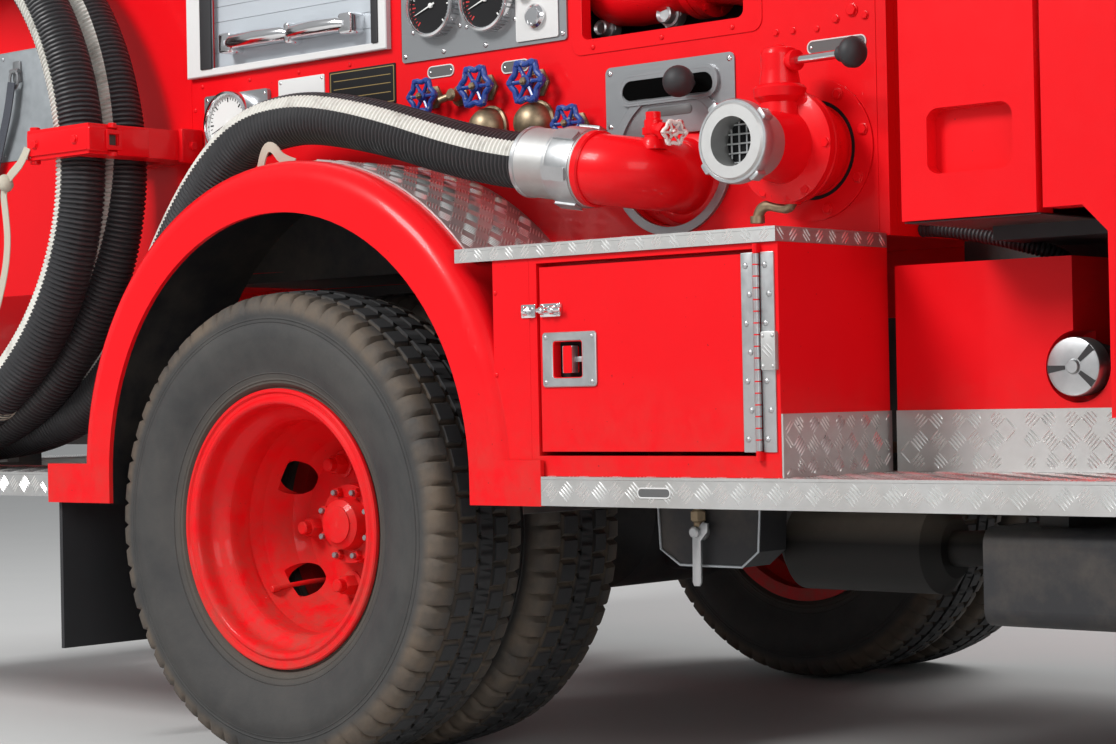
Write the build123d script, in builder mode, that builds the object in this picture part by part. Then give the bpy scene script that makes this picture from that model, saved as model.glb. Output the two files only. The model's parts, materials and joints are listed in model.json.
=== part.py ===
# A light four-door fire engine with its pump behind the cab, in millimetres.
# +X is forward, +Y is the left side and +Z is up. The origin is on the ground, at the middle of the
# length and of the width. Lengths along the body are given from the rear axle, and heights from the ground.
from build123d import *
import os
from math import asin, cos, pi, radians, sin, tan

os.makedirs("parts", exist_ok=True)

# Overall sizes
wheelbase = 2760
front_overhang = 1090
rear_overhang = 1700
overall_length = front_overhang + wheelbase + rear_overhang
overall_width = 1890
half_width = overall_width / 2
front_end_x = overall_length / 2
rear_end_x = -overall_length / 2
rear_axle_x = rear_end_x + rear_overhang
front_axle_x = rear_axle_x + wheelbase

# Running clearances: a seated face, a hinged panel's gap, a shaft in its bore
seat_gap = 0.3
panel_gap = 9
shaft_gap = 0.1

# Wheels: one size all round, twin at the back
tyre_diameter = 758
tyre_width = 205
bead_radius = 203
flange_radius = 222
rim_width = 156
rim_offset = 116
stud_circle = 208
stud_count = 5
axle_height = tyre_diameter / 2
rear_disc_y = 710
front_disc_y = 816
front_wheel_y = front_disc_y - rim_offset
drum_radius = 148
spindle_radius = 40
kingpin_y = 600
kingpin_radius = 14

# Chassis frame
frame_outer_y = 350
frame_flange = 60
frame_web = 7
frame_bottom = 500
frame_height = 190
frame_top = frame_bottom + frame_height
frame_front_x = front_end_x - 215
frame_rear_x = rear_end_x + 110

# Body behind the cab
body_half_width = 679
body_wall = 20
body_front_x = rear_axle_x + 1011
body_rear_x = rear_axle_x - 1560
body_bottom = 793
body_top = 1850
deck_height = 1450

# Rear wheel arch
arch_centre_x = rear_axle_x + 43
arch_centre_z = 462
arch_inner_radius = 413
arch_outer_radius = 495
arch_skin = 8
arch_round = 34
front_foot_x = rear_axle_x + 594
rear_foot_x = rear_axle_x - 536
front_foot_z = 425
rear_foot_z = 416

# Locker in front of the rear wheel, and the tread plates round it
locker_face_y = half_width - 10
locker_rear_x = rear_axle_x + 570
locker_front_x = rear_axle_x + 1005
locker_bottom = 467
locker_top = 776
locker_wall = 14
locker_door_rear_x = rear_axle_x + 590
locker_door_front_x = rear_axle_x + 970
locker_door_bottom = 502
locker_door_top = 762
plate = 4
step_top = 467
step_edge = 41
step_front_x = front_axle_x - 510
kick_top = 551
cover_top = 796

# Cab
cab_rear_x = rear_axle_x + 1140
cab_half_width = 847.5
cab_waist_z = 1160
cab_shoulder_y = 800
cab_roof_z = 2085
cab_bottom = 560
cab_wall = 40
cab_split_z = cab_roof_z - 85
cab_eaves_z = cab_roof_z - 100
cab_corner_bottom = 796
glass = 6
glass_inset = 14
nose_x = front_end_x - 20
screen_foot = (nose_x - 50, 1190)
screen_head = (nose_x - 405, cab_roof_z)
floor_thickness = 25
rear_floor_z = 745
rear_ledge_z = 800
rear_ledge_x = cab_rear_x + 300
platform_z = 930
platform_rear_x = front_axle_x - 520
platform_front_x = front_axle_x + 480
front_floor_z = 745
floor_half_width = cab_half_width - cab_wall - 7

# Doors, as side outlines from their rear edge
rear_door_rear_x = cab_rear_x + 206
front_door_rear_x = front_axle_x - 481
rear_door_front_x = front_door_rear_x - 46
rear_door_bottom = 540
front_door_front_x = nose_x - 315
front_door_head_x = nose_x - 493
front_door_bottom = 880
door_top = cab_roof_z - 130
belt_z = 1235
window_top = cab_roof_z - 200
window_side = 78
wheel_house_x = front_axle_x + 455

# Suction hose
hose_radius = 43
coil_centre_x = rear_axle_x - 1035
coil_centre_z = 980
coil_reach = 505
coil_rise = 515
coil_drop = 467
coil_turns = 2.2
hose_start_x = rear_axle_x + 460
hose_start_z = 930
elbow_x = rear_axle_x + 655
elbow_z = 899
suction_y = body_half_width + 121

sides = {"right": -1, "left": 1}


def save(piece, label):
    piece.part.label = label
    export_step(piece.part, f"parts/{label}.step")


def slab(x, y, z, mode=Mode.ADD):
    # a box between two values along each axis
    with Locations((sum(x) / 2, sum(y) / 2, sum(z) / 2)):
        Box(abs(x[1] - x[0]), abs(y[1] - y[0]), abs(z[1] - z[0]), mode=mode)


def prism(plane, points, depth, mode=Mode.ADD, corner=0, both=False):
    # a closed outline of straight sides pushed out of its plane, with its corners rounded
    with BuildSketch(plane) as outline:
        with BuildLine():
            Polyline(*points, close=True)
        make_face()
        if corner:
            fillet(outline.vertices(), corner)
    extrude(outline.sketch, amount=depth, both=both, mode=mode)


def side_prism(side, inner, outer, points, mode=Mode.ADD, corner=0):
    # a side-view outline pushed outwards from one distance off the centre plane to another
    prism(Plane.XZ.offset(-side * inner), points, -side * (outer - inner), mode, corner)


def rectangle(x0, x1, z0, z1):
    return [(x0, z0), (x1, z0), (x1, z1), (x0, z1)]


def turn(plane, profile, mode=Mode.ADD):
    # a profile of (distance along, radius) turned about the plane's own x direction
    with BuildSketch(plane) as outline:
        with BuildLine():
            Polyline(*profile, close=True)
        make_face()
    revolve(outline.sketch, axis=Axis(plane.origin, plane.x_dir), mode=mode)


def wheel_plane(x, side):
    # distances are measured outwards from the centre plane, radii from the wheel's axis
    return Plane(origin=(x, 0, axle_height), x_dir=(0, side, 0), z_dir=(side, 0, 0))


def outward_plane(x, side, z):
    # the same for a fitting that points out of the body's side
    return Plane(origin=(x, 0, z), x_dir=(0, side, 0), z_dir=(side, 0, 0))


def rod(start, end, radius, mode=Mode.ADD):
    along = Vector(*end) - Vector(*start)
    with BuildSketch(Plane(origin=start, z_dir=along)) as section:
        Circle(radius)
    extrude(section.sketch, amount=along.length, mode=mode)


def pipe(points, radius, bend):
    # a round bar along straight runs joined by tangent bends
    with BuildLine() as route:
        FilletPolyline(*points, radius=bend)
    with BuildSketch(Plane(origin=route.line @ 0, z_dir=route.line % 0)) as section:
        Circle(radius)
    sweep(section.sketch, path=route.line)


def drum(side, x, z, inner, outer, radius, mode=Mode.ADD):
    # a disc or boss standing on the body's side
    rod((x, side * inner, z), (x, side * outer, z), radius, mode)


# Chassis frame: two channel rails, cross members, spring hangers and outriggers for the steps
cross_member_x = (rear_end_x + 195, rear_axle_x - 645, rear_axle_x + 375, rear_axle_x + 925,
                  rear_axle_x + 1555, front_axle_x - 865, front_axle_x + 645, front_axle_x + 815)
cross_member_z = (610, 670)
cross_member_half = 30
front_spring_y = 330
rear_spring_y = 425
spring_width = 64
front_spring_span = 560
rear_spring_span = 600
eye_radius = 22
front_eye_z = frame_bottom - seat_gap - eye_radius
rear_eye_z = 500
outrigger_x = (rear_axle_x - 1450, rear_foot_x + 38.3, rear_axle_x + 928, rear_axle_x + 1150,
               step_front_x - 100)
outrigger_top = step_top - plate - seat_gap
outrigger_depth = 34
outrigger_half = 20
rail_inner_y = frame_outer_y - frame_flange

with BuildPart() as chassis_frame:
    for side in sides.values():
        rail = (side * rail_inner_y, side * frame_outer_y)
        slab((frame_rear_x, frame_front_x), rail, (frame_bottom, frame_top))
        slab((frame_rear_x - 5, frame_front_x + 5),
             (side * (rail_inner_y - 5), side * (frame_outer_y - frame_web)),
             (frame_bottom + frame_web, frame_top - frame_web), Mode.SUBTRACT)
        for end in (-1, 1):
            hanger_x = rear_axle_x + end * rear_spring_span
            slab((hanger_x - 35, hanger_x + 35),
                 (side * (frame_outer_y + seat_gap), side * (rear_spring_y + spring_width / 2)),
                 (rear_eye_z + eye_radius + seat_gap, frame_top - 40))
        for x in outrigger_x:
            slab((x - outrigger_half, x + outrigger_half), (side * rail_inner_y, side * (half_width - 15)),
                 (outrigger_top - outrigger_depth, outrigger_top))
            slab((x - outrigger_half, x + outrigger_half), rail,
                 (outrigger_top + seat_gap, frame_bottom - seat_gap))
        slab((frame_rear_x, frame_rear_x + 60), rail, (step_top + seat_gap, frame_bottom - seat_gap))
    for x in cross_member_x:
        slab((x - cross_member_half, x + cross_member_half),
             (seat_gap + frame_web - frame_outer_y, frame_outer_y - frame_web - seat_gap), cross_member_z)
save(chassis_frame, "chassis_frame")

# Front axle beam, dropped in the middle, with a kingpin eye at each end
beam_half = 32
beam_top = 376
beam_end_z = (axle_height - 28, axle_height + 28)
eye_boss = 26

with BuildPart() as front_axle:
    beam = [(-575, beam_end_z[1]), (-510, beam_end_z[1]), (-440, beam_top), (440, beam_top),
            (510, beam_end_z[1]), (575, beam_end_z[1]), (575, beam_end_z[0]), (510, 335),
            (440, 300), (-440, 300), (-510, 335), (-575, beam_end_z[0])]
    prism(Plane.YZ.offset(front_axle_x - beam_half), beam, 2 * beam_half)
    for end in (-1, 1):
        slab((front_axle_x + end * 12, front_axle_x + end * (beam_half + 5)), (-430, 430),
             (314, beam_top - 14), Mode.SUBTRACT)
    for side in sides.values():
        rod((front_axle_x, side * kingpin_y, beam_end_z[0]), (front_axle_x, side * kingpin_y, beam_end_z[1]),
            eye_boss)
        rod((front_axle_x, side * kingpin_y, beam_end_z[0] - 5),
            (front_axle_x, side * kingpin_y, beam_end_z[1] + 5), kingpin_radius + shaft_gap, Mode.SUBTRACT)
        slab((front_axle_x - 60, front_axle_x + 60),
             (side * (front_spring_y - 38), side * (front_spring_y + 38)), (beam_top - 20, beam_top))
save(front_axle, "front_axle")

# Rear axle: banjo housing with its pinion nose, brake plates, spindles and spring pads
housing_radius = 60
banjo_radius = 150
brake_plate_y = (545, 552)
spindle_end_y = 690
pad_top = axle_height + housing_radius + 6

with BuildPart() as rear_axle:
    half = [(spindle_end_y, 0), (spindle_end_y, spindle_radius), (brake_plate_y[1], spindle_radius),
            (brake_plate_y[1], 140), (brake_plate_y[0], 140), (brake_plate_y[0], housing_radius),
            (230, housing_radius), (140, banjo_radius)]
    turn(wheel_plane(rear_axle_x, 1), [(-y, r) for y, r in half] + half[::-1])
    turn(Plane(origin=(rear_axle_x, 0, axle_height), x_dir=(1, 0, 0), z_dir=(0, -1, 0)),
         [(0, 0), (0, 120), (130, 120), (250, 60), (330, 60), (330, 0)])
    for side in sides.values():
        slab((rear_axle_x - 60, rear_axle_x + 60),
             (side * (rear_spring_y - 36), side * (rear_spring_y + 36)), (axle_height, pad_top))
save(rear_axle, "rear_axle")

# Leaf springs: each leaf is a band of one arc, shorter towards the axle
leaf_thickness = 11
leaf_shares = (1.0, 0.78, 0.56, 0.34)


def leaf_spring(x, y, seat_z, eye_z, span):
    stack = leaf_thickness * len(leaf_shares)
    low_z = seat_z + seat_gap + stack
    rise = eye_z - low_z + leaf_thickness / 2
    radius = (span ** 2 + rise ** 2) / (2 * rise)
    centre_z = low_z + radius
    for index, share in enumerate(leaf_shares):
        inner = radius + index * leaf_thickness
        outer = inner + leaf_thickness
        angle = asin(span * share / outer)

        def spot(r, a):
            return (x + r * sin(a), centre_z - leaf_thickness - r * cos(a) + leaf_thickness)

        with BuildSketch(Plane.XZ.offset(-y - spring_width / 2)) as band:
            with BuildLine():
                ThreePointArc(spot(outer, -angle), spot(outer, 0), spot(outer, angle))
                Line(spot(outer, angle), spot(inner, angle))
                ThreePointArc(spot(inner, angle), spot(inner, 0), spot(inner, -angle))
                Line(spot(inner, -angle), spot(outer, -angle))
            make_face()
        extrude(band.sketch, amount=spring_width)
    for end in (-1, 1):
        rod((x + end * span, y - spring_width / 2, eye_z), (x + end * span, y + spring_width / 2, eye_z),
            eye_radius)
    slab((x - 45, x + 45), (y - spring_width / 2, y + spring_width / 2), (seat_z + seat_gap, low_z + 16))


with BuildPart() as leaf_springs:
    for side in sides.values():
        leaf_spring(front_axle_x, side * front_spring_y, beam_top, front_eye_z, front_spring_span)
        leaf_spring(rear_axle_x, side * rear_spring_y, pad_top, rear_eye_z, rear_spring_span)
save(leaf_springs, "leaf_springs")

# Engine under the cab, as one block with its gearbox, and the shaft to the rear axle
gearbox_rear_x = front_axle_x - 805
engine_x = (front_axle_x - 285, front_axle_x + 435)
shaft_z = 560

with BuildPart() as drivetrain:
    slab(engine_x, (-230, 230), (430, 880))
    fillet(drivetrain.edges().filter_by(Axis.X), 40)
    turn(Plane(origin=(gearbox_rear_x, 0, shaft_z), x_dir=(1, 0, 0), z_dir=(0, -1, 0)),
         [(0, 0), (0, 70), (80, 110), (340, 130), (520, 190), (530, 190), (530, 0)])
    pinion = (rear_axle_x + 335, 0, axle_height)
    rod(pinion, (gearbox_rear_x - seat_gap, 0, shaft_z), 38)
save(drivetrain, "drivetrain")

# Exhaust: silencer under the right-hand step, joined to the engine by its pipe
silencer_y = -700
silencer_z = 365
silencer_radius = 62
silencer_x = (rear_axle_x + 860, rear_axle_x + 1120)
pipe_radius = 24
pipe_bend = 60
engine_pipe_y = -215

with BuildPart() as exhaust:
    length = silencer_x[1] - silencer_x[0]
    turn(Plane(origin=(silencer_x[0], silencer_y, silencer_z), x_dir=(1, 0, 0), z_dir=(0, -1, 0)),
         [(0, 0), (0, 40), (20, silencer_radius), (length - 20, silencer_radius), (length, 40), (length, 0)])
    pipe([(silencer_x[1] - 5, silencer_y, silencer_z), (silencer_x[1] + 65, silencer_y, silencer_z),
          (silencer_x[1] + 65, engine_pipe_y, 400), (engine_x[0] - 150, engine_pipe_y, 470),
          (engine_x[0] - seat_gap, engine_pipe_y, 470)], pipe_radius, pipe_bend)
    slab((silencer_x[0] + 90, silencer_x[0] + 120), (silencer_y - 12, silencer_y + 12),
         (silencer_z + 40, outrigger_top))
save(exhaust, "exhaust")

# Boxes hung under the steps: the fuel tank with its filler neck and the tray of the drain levers on the
# right, the battery box on the left
tank_x = (silencer_x[1] + 165, step_front_x - 190)
tank_y = (-905, -480)
tank_z = (285, 408)
battery_x = (rear_axle_x + 1250, step_front_x - 450)
tray_x = (rear_axle_x + 710, rear_axle_x + 895)
tray_y = (-830, -770)
filler_x = rear_axle_x + 1297
filler_z = 605
filler_notch_radius = 48
filler_neck_radius = 30
filler_cap_radius = 37.5
notch_depth = 60

with BuildPart() as side_boxes:
    slab(tank_x, tank_y, tank_z)
    fillet(side_boxes.edges().filter_by(Axis.X), 22)
    for x in (tank_x[0] + 80, tank_x[1] - 80):
        slab((x - 20, x + 20), (-870, -520), (tank_z[1] - 1, outrigger_top))
    slab(battery_x, (560, 905), (300, outrigger_top))
    prism(Plane.XZ.offset(-tray_y[1]),
          [(tray_x[0], outrigger_top), (tray_x[0] + 6, 362), (tray_x[0] + 40, 340), (tray_x[1] - 34, 340),
           (tray_x[1] - 6, 362), (tray_x[1], outrigger_top)], tray_y[1] - tray_y[0])
    rod((filler_x, notch_depth - seat_gap - body_half_width, filler_z),
        (filler_x, 12 - body_half_width, filler_z), filler_neck_radius)
    rod((filler_x, 12 - body_half_width, filler_z),
        (filler_x, -body_half_width - 12, filler_z), filler_cap_radius)
save(side_boxes, "side_boxes")

# Steered knuckles: forked round the beam's eye, with kingpin, brake plate, spindle and track arm
fork_gap = 5
fork_height = 40
knuckle_plate_y = (632, 642)
front_spindle_end_y = 770
front_spindle_radius = 25
track_arm_end = (front_axle_x - 170, kingpin_y - 30, 300)
track_rod_radius = 13

for name, side in sides.items():
    with BuildPart() as knuckle:
        for z0, z1 in ((beam_end_z[0] - fork_gap - fork_height, beam_end_z[0] - fork_gap),
                       (beam_end_z[1] + fork_gap, beam_end_z[1] + fork_gap + fork_height)):
            rod((front_axle_x, side * kingpin_y, z0), (front_axle_x, side * kingpin_y, z1), 28)
            slab((front_axle_x - 28, front_axle_x + 28), (side * kingpin_y, side * knuckle_plate_y[1]), (z0, z1))
        rod((front_axle_x, side * kingpin_y, beam_end_z[0] - 40),
            (front_axle_x, side * kingpin_y, beam_end_z[1] + 40), kingpin_radius)
        turn(wheel_plane(front_axle_x, side),
             [(knuckle_plate_y[0], 0), (knuckle_plate_y[0], 140), (knuckle_plate_y[1], 140),
              (knuckle_plate_y[1], 45), (650, front_spindle_radius),
              (front_spindle_end_y, front_spindle_radius), (front_spindle_end_y, 0)])
        arm_root = (front_axle_x, side * kingpin_y, track_arm_end[2] + 20)
        arm_tip = (track_arm_end[0], side * track_arm_end[1], track_arm_end[2] + 20)
        rod(arm_root, arm_tip, 13)
        rod((arm_tip[0], arm_tip[1], arm_tip[2] + 14), (arm_tip[0], arm_tip[1], arm_tip[2] - 14), 18)
    save(knuckle, f"knuckle_{name}")

with BuildPart() as track_rod:
    low_z = track_arm_end[2] - 14
    rod((track_arm_end[0], -track_arm_end[1], low_z), (track_arm_end[0], track_arm_end[1], low_z),
        track_rod_radius)
    for side in sides.values():
        rod((track_arm_end[0], side * track_arm_end[1], low_z - 16),
            (track_arm_end[0], side * track_arm_end[1], track_arm_end[2] + 6 - seat_gap), 17)
save(track_rod, "track_rod")


# Tyres: bead, sidewalls swelling to the full width, and a slightly crowned tread
def tyre(x, side, centre):
    bead = rim_width / 2 - 9
    swell = tyre_width / 2
    with BuildSketch(wheel_plane(x, side)) as section:
        with BuildLine():
            Line((centre - bead, bead_radius + seat_gap), (centre + bead, bead_radius + seat_gap))
            Line((centre + bead, bead_radius + seat_gap), (centre + bead, flange_radius + 2))
            ThreePointArc((centre + bead, flange_radius + 2), (centre + swell, 300),
                          (centre + swell - 16, 366))
            ThreePointArc((centre + swell - 16, 366), (centre, tyre_diameter / 2),
                          (centre - swell + 16, 366))
            ThreePointArc((centre - swell + 16, 366), (centre - swell, 300),
                          (centre - bead, flange_radius + 2))
            Line((centre - bead, flange_radius + 2), (centre - bead, bead_radius + seat_gap))
        make_face()
    revolve(section.sketch, axis=Axis((x, 0, axle_height), (0, 1, 0)))


# Rims: a drop-centre barrel with a flange each side and a dished disc on its mounting face
barrel = [(78, 222), (72, 222), (69, 203), (46, 201), (24, 180), (-24, 180), (-46, 201), (-69, 203),
          (-72, 222), (-78, 222), (-75, 197), (-49, 195), (-27, 173), (27, 173), (49, 195), (75, 197)]
hub_radius = 66
disc_profile = [(-116, 74), (-116, 132), (-92, 150), (-44, 173.5), (-14, 173.5), (-38, 165), (-84, 142),
                (-106, 126), (-106, 74)]
hand_hole_circle = 145


def rim(x, side, centre, facing):
    # facing is 1 where the disc lies on the inboard side of the rim, -1 where it lies outboard
    turn(wheel_plane(x, side), [(centre + facing * y, r) for y, r in barrel])
    turn(wheel_plane(x, side), [(centre + facing * y, r) for y, r in disc_profile])
    disc_y = centre - facing * rim_offset
    hole_plane = Plane(origin=(x, side * disc_y, axle_height), x_dir=(1, 0, 0), z_dir=(0, -1, 0))
    with BuildSketch(hole_plane) as holes:
        with PolarLocations(hand_hole_circle, stud_count, start_angle=149):
            Ellipse(21, 31)
    extrude(holes.sketch, amount=60, both=True, mode=Mode.SUBTRACT)


for name, side in sides.items():
    with BuildPart() as front_tyre:
        tyre(front_axle_x, side, front_wheel_y)
    save(front_tyre, f"tyre_front_{name}")

    with BuildPart() as front_rim:
        rim(front_axle_x, side, front_wheel_y, -1)
        bore = front_spindle_radius + shaft_gap
        turn(wheel_plane(front_axle_x, side),
             [(652, bore), (652, drum_radius), (735, drum_radius), (735, 70), (front_disc_y - 10, 76),
              (front_disc_y, 76), (front_disc_y, hub_radius), (front_disc_y + 26, hub_radius - 4),
              (front_disc_y + 26, 46), (front_disc_y + 48, 40), (front_disc_y + 54, 28), (front_disc_y + 54, 0),
              (front_spindle_end_y + 1, 0), (front_spindle_end_y + 1, bore)])
    save(front_rim, f"rim_front_{name}")

    with BuildPart() as rear_tyres:
        for centre in (rear_disc_y + rim_offset, rear_disc_y - rim_offset):
            tyre(rear_axle_x, side, centre)
    save(rear_tyres, f"tyres_rear_{name}")

    with BuildPart() as rear_rims:
        rim(rear_axle_x, side, rear_disc_y + rim_offset, 1)
        rim(rear_axle_x, side, rear_disc_y - rim_offset, -1)
        bore = spindle_radius + shaft_gap
        turn(wheel_plane(rear_axle_x, side),
             [(558, bore), (558, drum_radius), (650, drum_radius), (650, 90), (rear_disc_y - 10, 76),
              (rear_disc_y + 10, 76), (rear_disc_y + 10, hub_radius), (rear_disc_y + 38, hub_radius - 2),
              (rear_disc_y + 38, 44), (rear_disc_y + 60, 40), (rear_disc_y + 68, 26), (rear_disc_y + 70, 0),
              (spindle_end_y + 1, 0), (spindle_end_y + 1, bore)])
    save(rear_rims, f"rims_rear_{name}")


# Cab: the outer volume is the side view, the front view and the plan met together
def cab_volume(inset):
    side_view = [(cab_rear_x, cab_bottom - 100), (cab_rear_x, cab_roof_z), screen_head, screen_foot,
                 (nose_x - 20, 1060), (nose_x, cab_bottom - 100)]
    front_view = [(-cab_half_width, cab_bottom - 100), (cab_half_width, cab_bottom - 100),
                  (cab_half_width, cab_waist_z), (cab_shoulder_y, cab_eaves_z), (cab_shoulder_y - 90, cab_roof_z),
                  (90 - cab_shoulder_y, cab_roof_z), (-cab_shoulder_y, cab_eaves_z), (-cab_half_width, cab_waist_z)]
    with BuildPart() as volume:
        with BuildSketch(Plane.XZ) as side_outline:
            with BuildLine():
                Polyline(*side_view, close=True)
            make_face()
            fillet(side_outline.vertices().filter_by_position(Axis.X, cab_rear_x - 1, cab_rear_x + 1)
                   .sort_by(Axis.Y)[-1:], 70)
            fillet(side_outline.vertices().sort_by_distance(screen_head)[:1], 90)
            if inset:
                offset(amount=-inset, kind=Kind.INTERSECTION)
        extrude(side_outline.sketch, amount=cab_half_width + 10, both=True)
        with BuildSketch(Plane.YZ) as front_outline:
            with BuildLine():
                Polyline(*front_view, close=True)
            make_face()
            fillet(front_outline.vertices().filter_by_position(Axis.Y, cab_eaves_z - 5, cab_roof_z + 5), 60)
            if inset:
                offset(amount=-inset, kind=Kind.INTERSECTION)
        extrude(front_outline.sketch, amount=front_end_x, both=True, mode=Mode.INTERSECT)
        with BuildSketch(Plane.XY) as plan:
            with BuildLine():
                Polyline((cab_rear_x, -cab_half_width), (nose_x, -cab_half_width), (nose_x, cab_half_width),
                         (cab_rear_x, cab_half_width), close=True)
            make_face()
            fillet(plan.vertices().sort_by(Axis.X)[2:], 170)
            if inset:
                offset(amount=-inset, kind=Kind.INTERSECTION)
        extrude(plan.sketch, amount=cab_roof_z + 10, mode=Mode.INTERSECT)
    return volume.part


cab_outer = cab_volume(0)
cab_inner = cab_volume(cab_wall)
glass_outer = cab_volume(glass_inset)
glass_inner = cab_volume(glass_inset + glass)

rear_door = [(rear_door_rear_x, cab_corner_bottom + 5), (rear_ledge_x - 40, cab_corner_bottom + 5),
             (rear_ledge_x - 6, 767), (rear_ledge_x - 6, rear_door_bottom),
             (rear_door_front_x, rear_door_bottom), (rear_door_front_x, door_top), (rear_door_rear_x, door_top)]
front_door = [(front_door_rear_x, front_door_bottom), (front_door_front_x, front_door_bottom),
              (front_door_front_x, 1190), (front_door_head_x, door_top), (front_door_rear_x, door_top)]
rear_window = rectangle(rear_door_rear_x + window_side, rear_door_front_x - window_side, belt_z, window_top)
front_window = [(front_door_rear_x + window_side, belt_z), (front_door_front_x - 84, belt_z),
                (front_door_head_x - 56, window_top),
                (front_door_rear_x + window_side, window_top)]
door_outlines = {"front": (front_door, front_window), "rear": (rear_door, rear_window)}
pillar_front = [(wheel_house_x, cab_bottom), (wheel_house_x, front_door_bottom - panel_gap),
                (front_door_front_x + panel_gap, front_door_bottom - panel_gap),
                (front_door_front_x + panel_gap, 1192), (front_door_head_x + panel_gap, door_top + panel_gap),
                (front_door_head_x + panel_gap, cab_split_z), (front_end_x, cab_split_z),
                (front_end_x, cab_bottom)]
screen_half = (705, 660)
screen_z = (1250, cab_roof_z - 130)
back_window_half = 520
back_window_z = (1330, cab_roof_z - 225)
window_round = 60


def screen_outline(gap):
    return [(gap - screen_half[0], screen_z[0] + gap), (screen_half[0] - gap, screen_z[0] + gap),
            (screen_half[1] - gap, screen_z[1] - gap), (gap - screen_half[1], screen_z[1] - gap)]


def back_outline(gap):
    return rectangle(gap - back_window_half, back_window_half - gap, back_window_z[0] + gap,
                     back_window_z[1] - gap)


def grown(points, amount, corner=0):
    # an outline in side view, grown all round by a gap
    with BuildSketch(Plane.XZ, mode=Mode.PRIVATE) as outline:
        with BuildLine():
            Polyline(*points, close=True)
        make_face()
        if corner:
            fillet(outline.vertices(), corner)
        offset(amount=amount, kind=Kind.INTERSECTION)
    return outline.sketch


def cut_side(side, sketch, mode):
    # an outline of the side view, through the cab's whole side wall
    extrude(sketch, amount=-side * (cab_half_width + 20), mode=mode)


# Door hinges: a pin between two barrels on the cab, through one on the door
hinge_out = 2.5
barrel_radius = 4
pin_radius = 2
barrel_half = 20
pin_half = 42
hinge_leaf = 2
hinge_places = {"front": (front_door_front_x + panel_gap / 2, (945, 1105)),
                "rear": (rear_door_front_x + panel_gap / 2, (640, 1105))}


def door_barrels(side, place):
    x, heights = hinge_places[place]
    y = side * (cab_half_width + hinge_out)
    for z in heights:
        side_prism(side, cab_half_width, cab_half_width + hinge_leaf,
                   rectangle(x - 36, x, z - barrel_half, z + barrel_half))
        rod((x, y, z - barrel_half), (x, y, z + barrel_half), barrel_radius)
        rod((x, y, z - barrel_half), (x, y, z + barrel_half), pin_radius + shaft_gap, Mode.SUBTRACT)


def cab_barrels(side, place):
    x, heights = hinge_places[place]
    y = side * (cab_half_width + hinge_out)
    for z in heights:
        for end in (-1, 1):
            side_prism(side, cab_half_width, cab_half_width + hinge_leaf,
                       rectangle(x, x + 30, z + end * (barrel_half + seat_gap), z + end * pin_half))
            rod((x, y, z + end * (barrel_half + seat_gap)), (x, y, z + end * pin_half), barrel_radius)
        rod((x, y, z - pin_half), (x, y, z + pin_half), pin_radius)


with BuildPart() as cab_roof:
    add(cab_outer)
    add(cab_inner, mode=Mode.SUBTRACT)
    slab((cab_rear_x - 10, front_end_x), (-900, 900), (cab_split_z, cab_roof_z + 20), Mode.INTERSECT)
save(cab_roof, "cab_roof")

with BuildPart() as cab_rear:
    add(cab_outer)
    add(cab_inner, mode=Mode.SUBTRACT)
    slab((cab_rear_x - 10, cab_rear_x + cab_wall), (-900, 900), (cab_corner_bottom, cab_split_z), Mode.INTERSECT)
    prism(Plane.YZ.offset(cab_rear_x - 20), back_outline(0), 100, Mode.SUBTRACT, corner=window_round)
save(cab_rear, "cab_rear")

with BuildPart() as cab_front:
    add(cab_outer)
    add(cab_inner, mode=Mode.SUBTRACT)
    prism(Plane.XZ, pillar_front, 900, Mode.INTERSECT, both=True)
    prism(Plane.YZ.offset(screen_head[0] - 250), screen_outline(0), 700, Mode.SUBTRACT, corner=window_round)
    for side in sides.values():
        cab_barrels(side, "front")
save(cab_front, "cab_front")

with BuildPart() as cab_sides:
    add(cab_outer)
    add(cab_inner, mode=Mode.SUBTRACT)
    pillar_x = front_door_head_x + panel_gap - seat_gap
    side_zone = [(cab_rear_x + cab_wall, cab_corner_bottom), (rear_door_rear_x, cab_corner_bottom),
                 (rear_door_rear_x, 900), (rear_door_front_x - 60, 900),
                 (rear_door_front_x - 60, rear_door_bottom), (pillar_x, rear_door_bottom),
                 (pillar_x, cab_split_z), (cab_rear_x + cab_wall, cab_split_z)]
    prism(Plane.XZ, side_zone, 900, Mode.INTERSECT, both=True)
    for side in sides.values():
        for outline, window in door_outlines.values():
            cut_side(side, grown(outline, panel_gap), Mode.SUBTRACT)
        slab((front_door_rear_x - panel_gap, pillar_x + 30), (side * 700, side * 900),
             (rear_door_bottom - 5, front_door_bottom), Mode.SUBTRACT)
        side_prism(side, cab_half_width - 22, cab_half_width + 5,
                   rectangle(cab_rear_x + 39, cab_rear_x + 165, 854, 938), Mode.SUBTRACT, corner=18)
        cab_barrels(side, "rear")
save(cab_sides, "cab_sides")

with BuildPart() as cab_glass:
    add(glass_outer)
    add(glass_inner, mode=Mode.SUBTRACT)
    prism(Plane.YZ.offset(screen_head[0] - 70), screen_outline(seat_gap), 700, Mode.INTERSECT,
          corner=window_round)
with BuildPart() as back_glass:
    prism(Plane.YZ.offset(cab_rear_x + glass_inset), back_outline(seat_gap), glass, corner=window_round)
with BuildPart() as cab_glass_both:
    add(cab_glass.part)
    add(back_glass.part)
save(cab_glass_both, "cab_glass")

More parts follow.
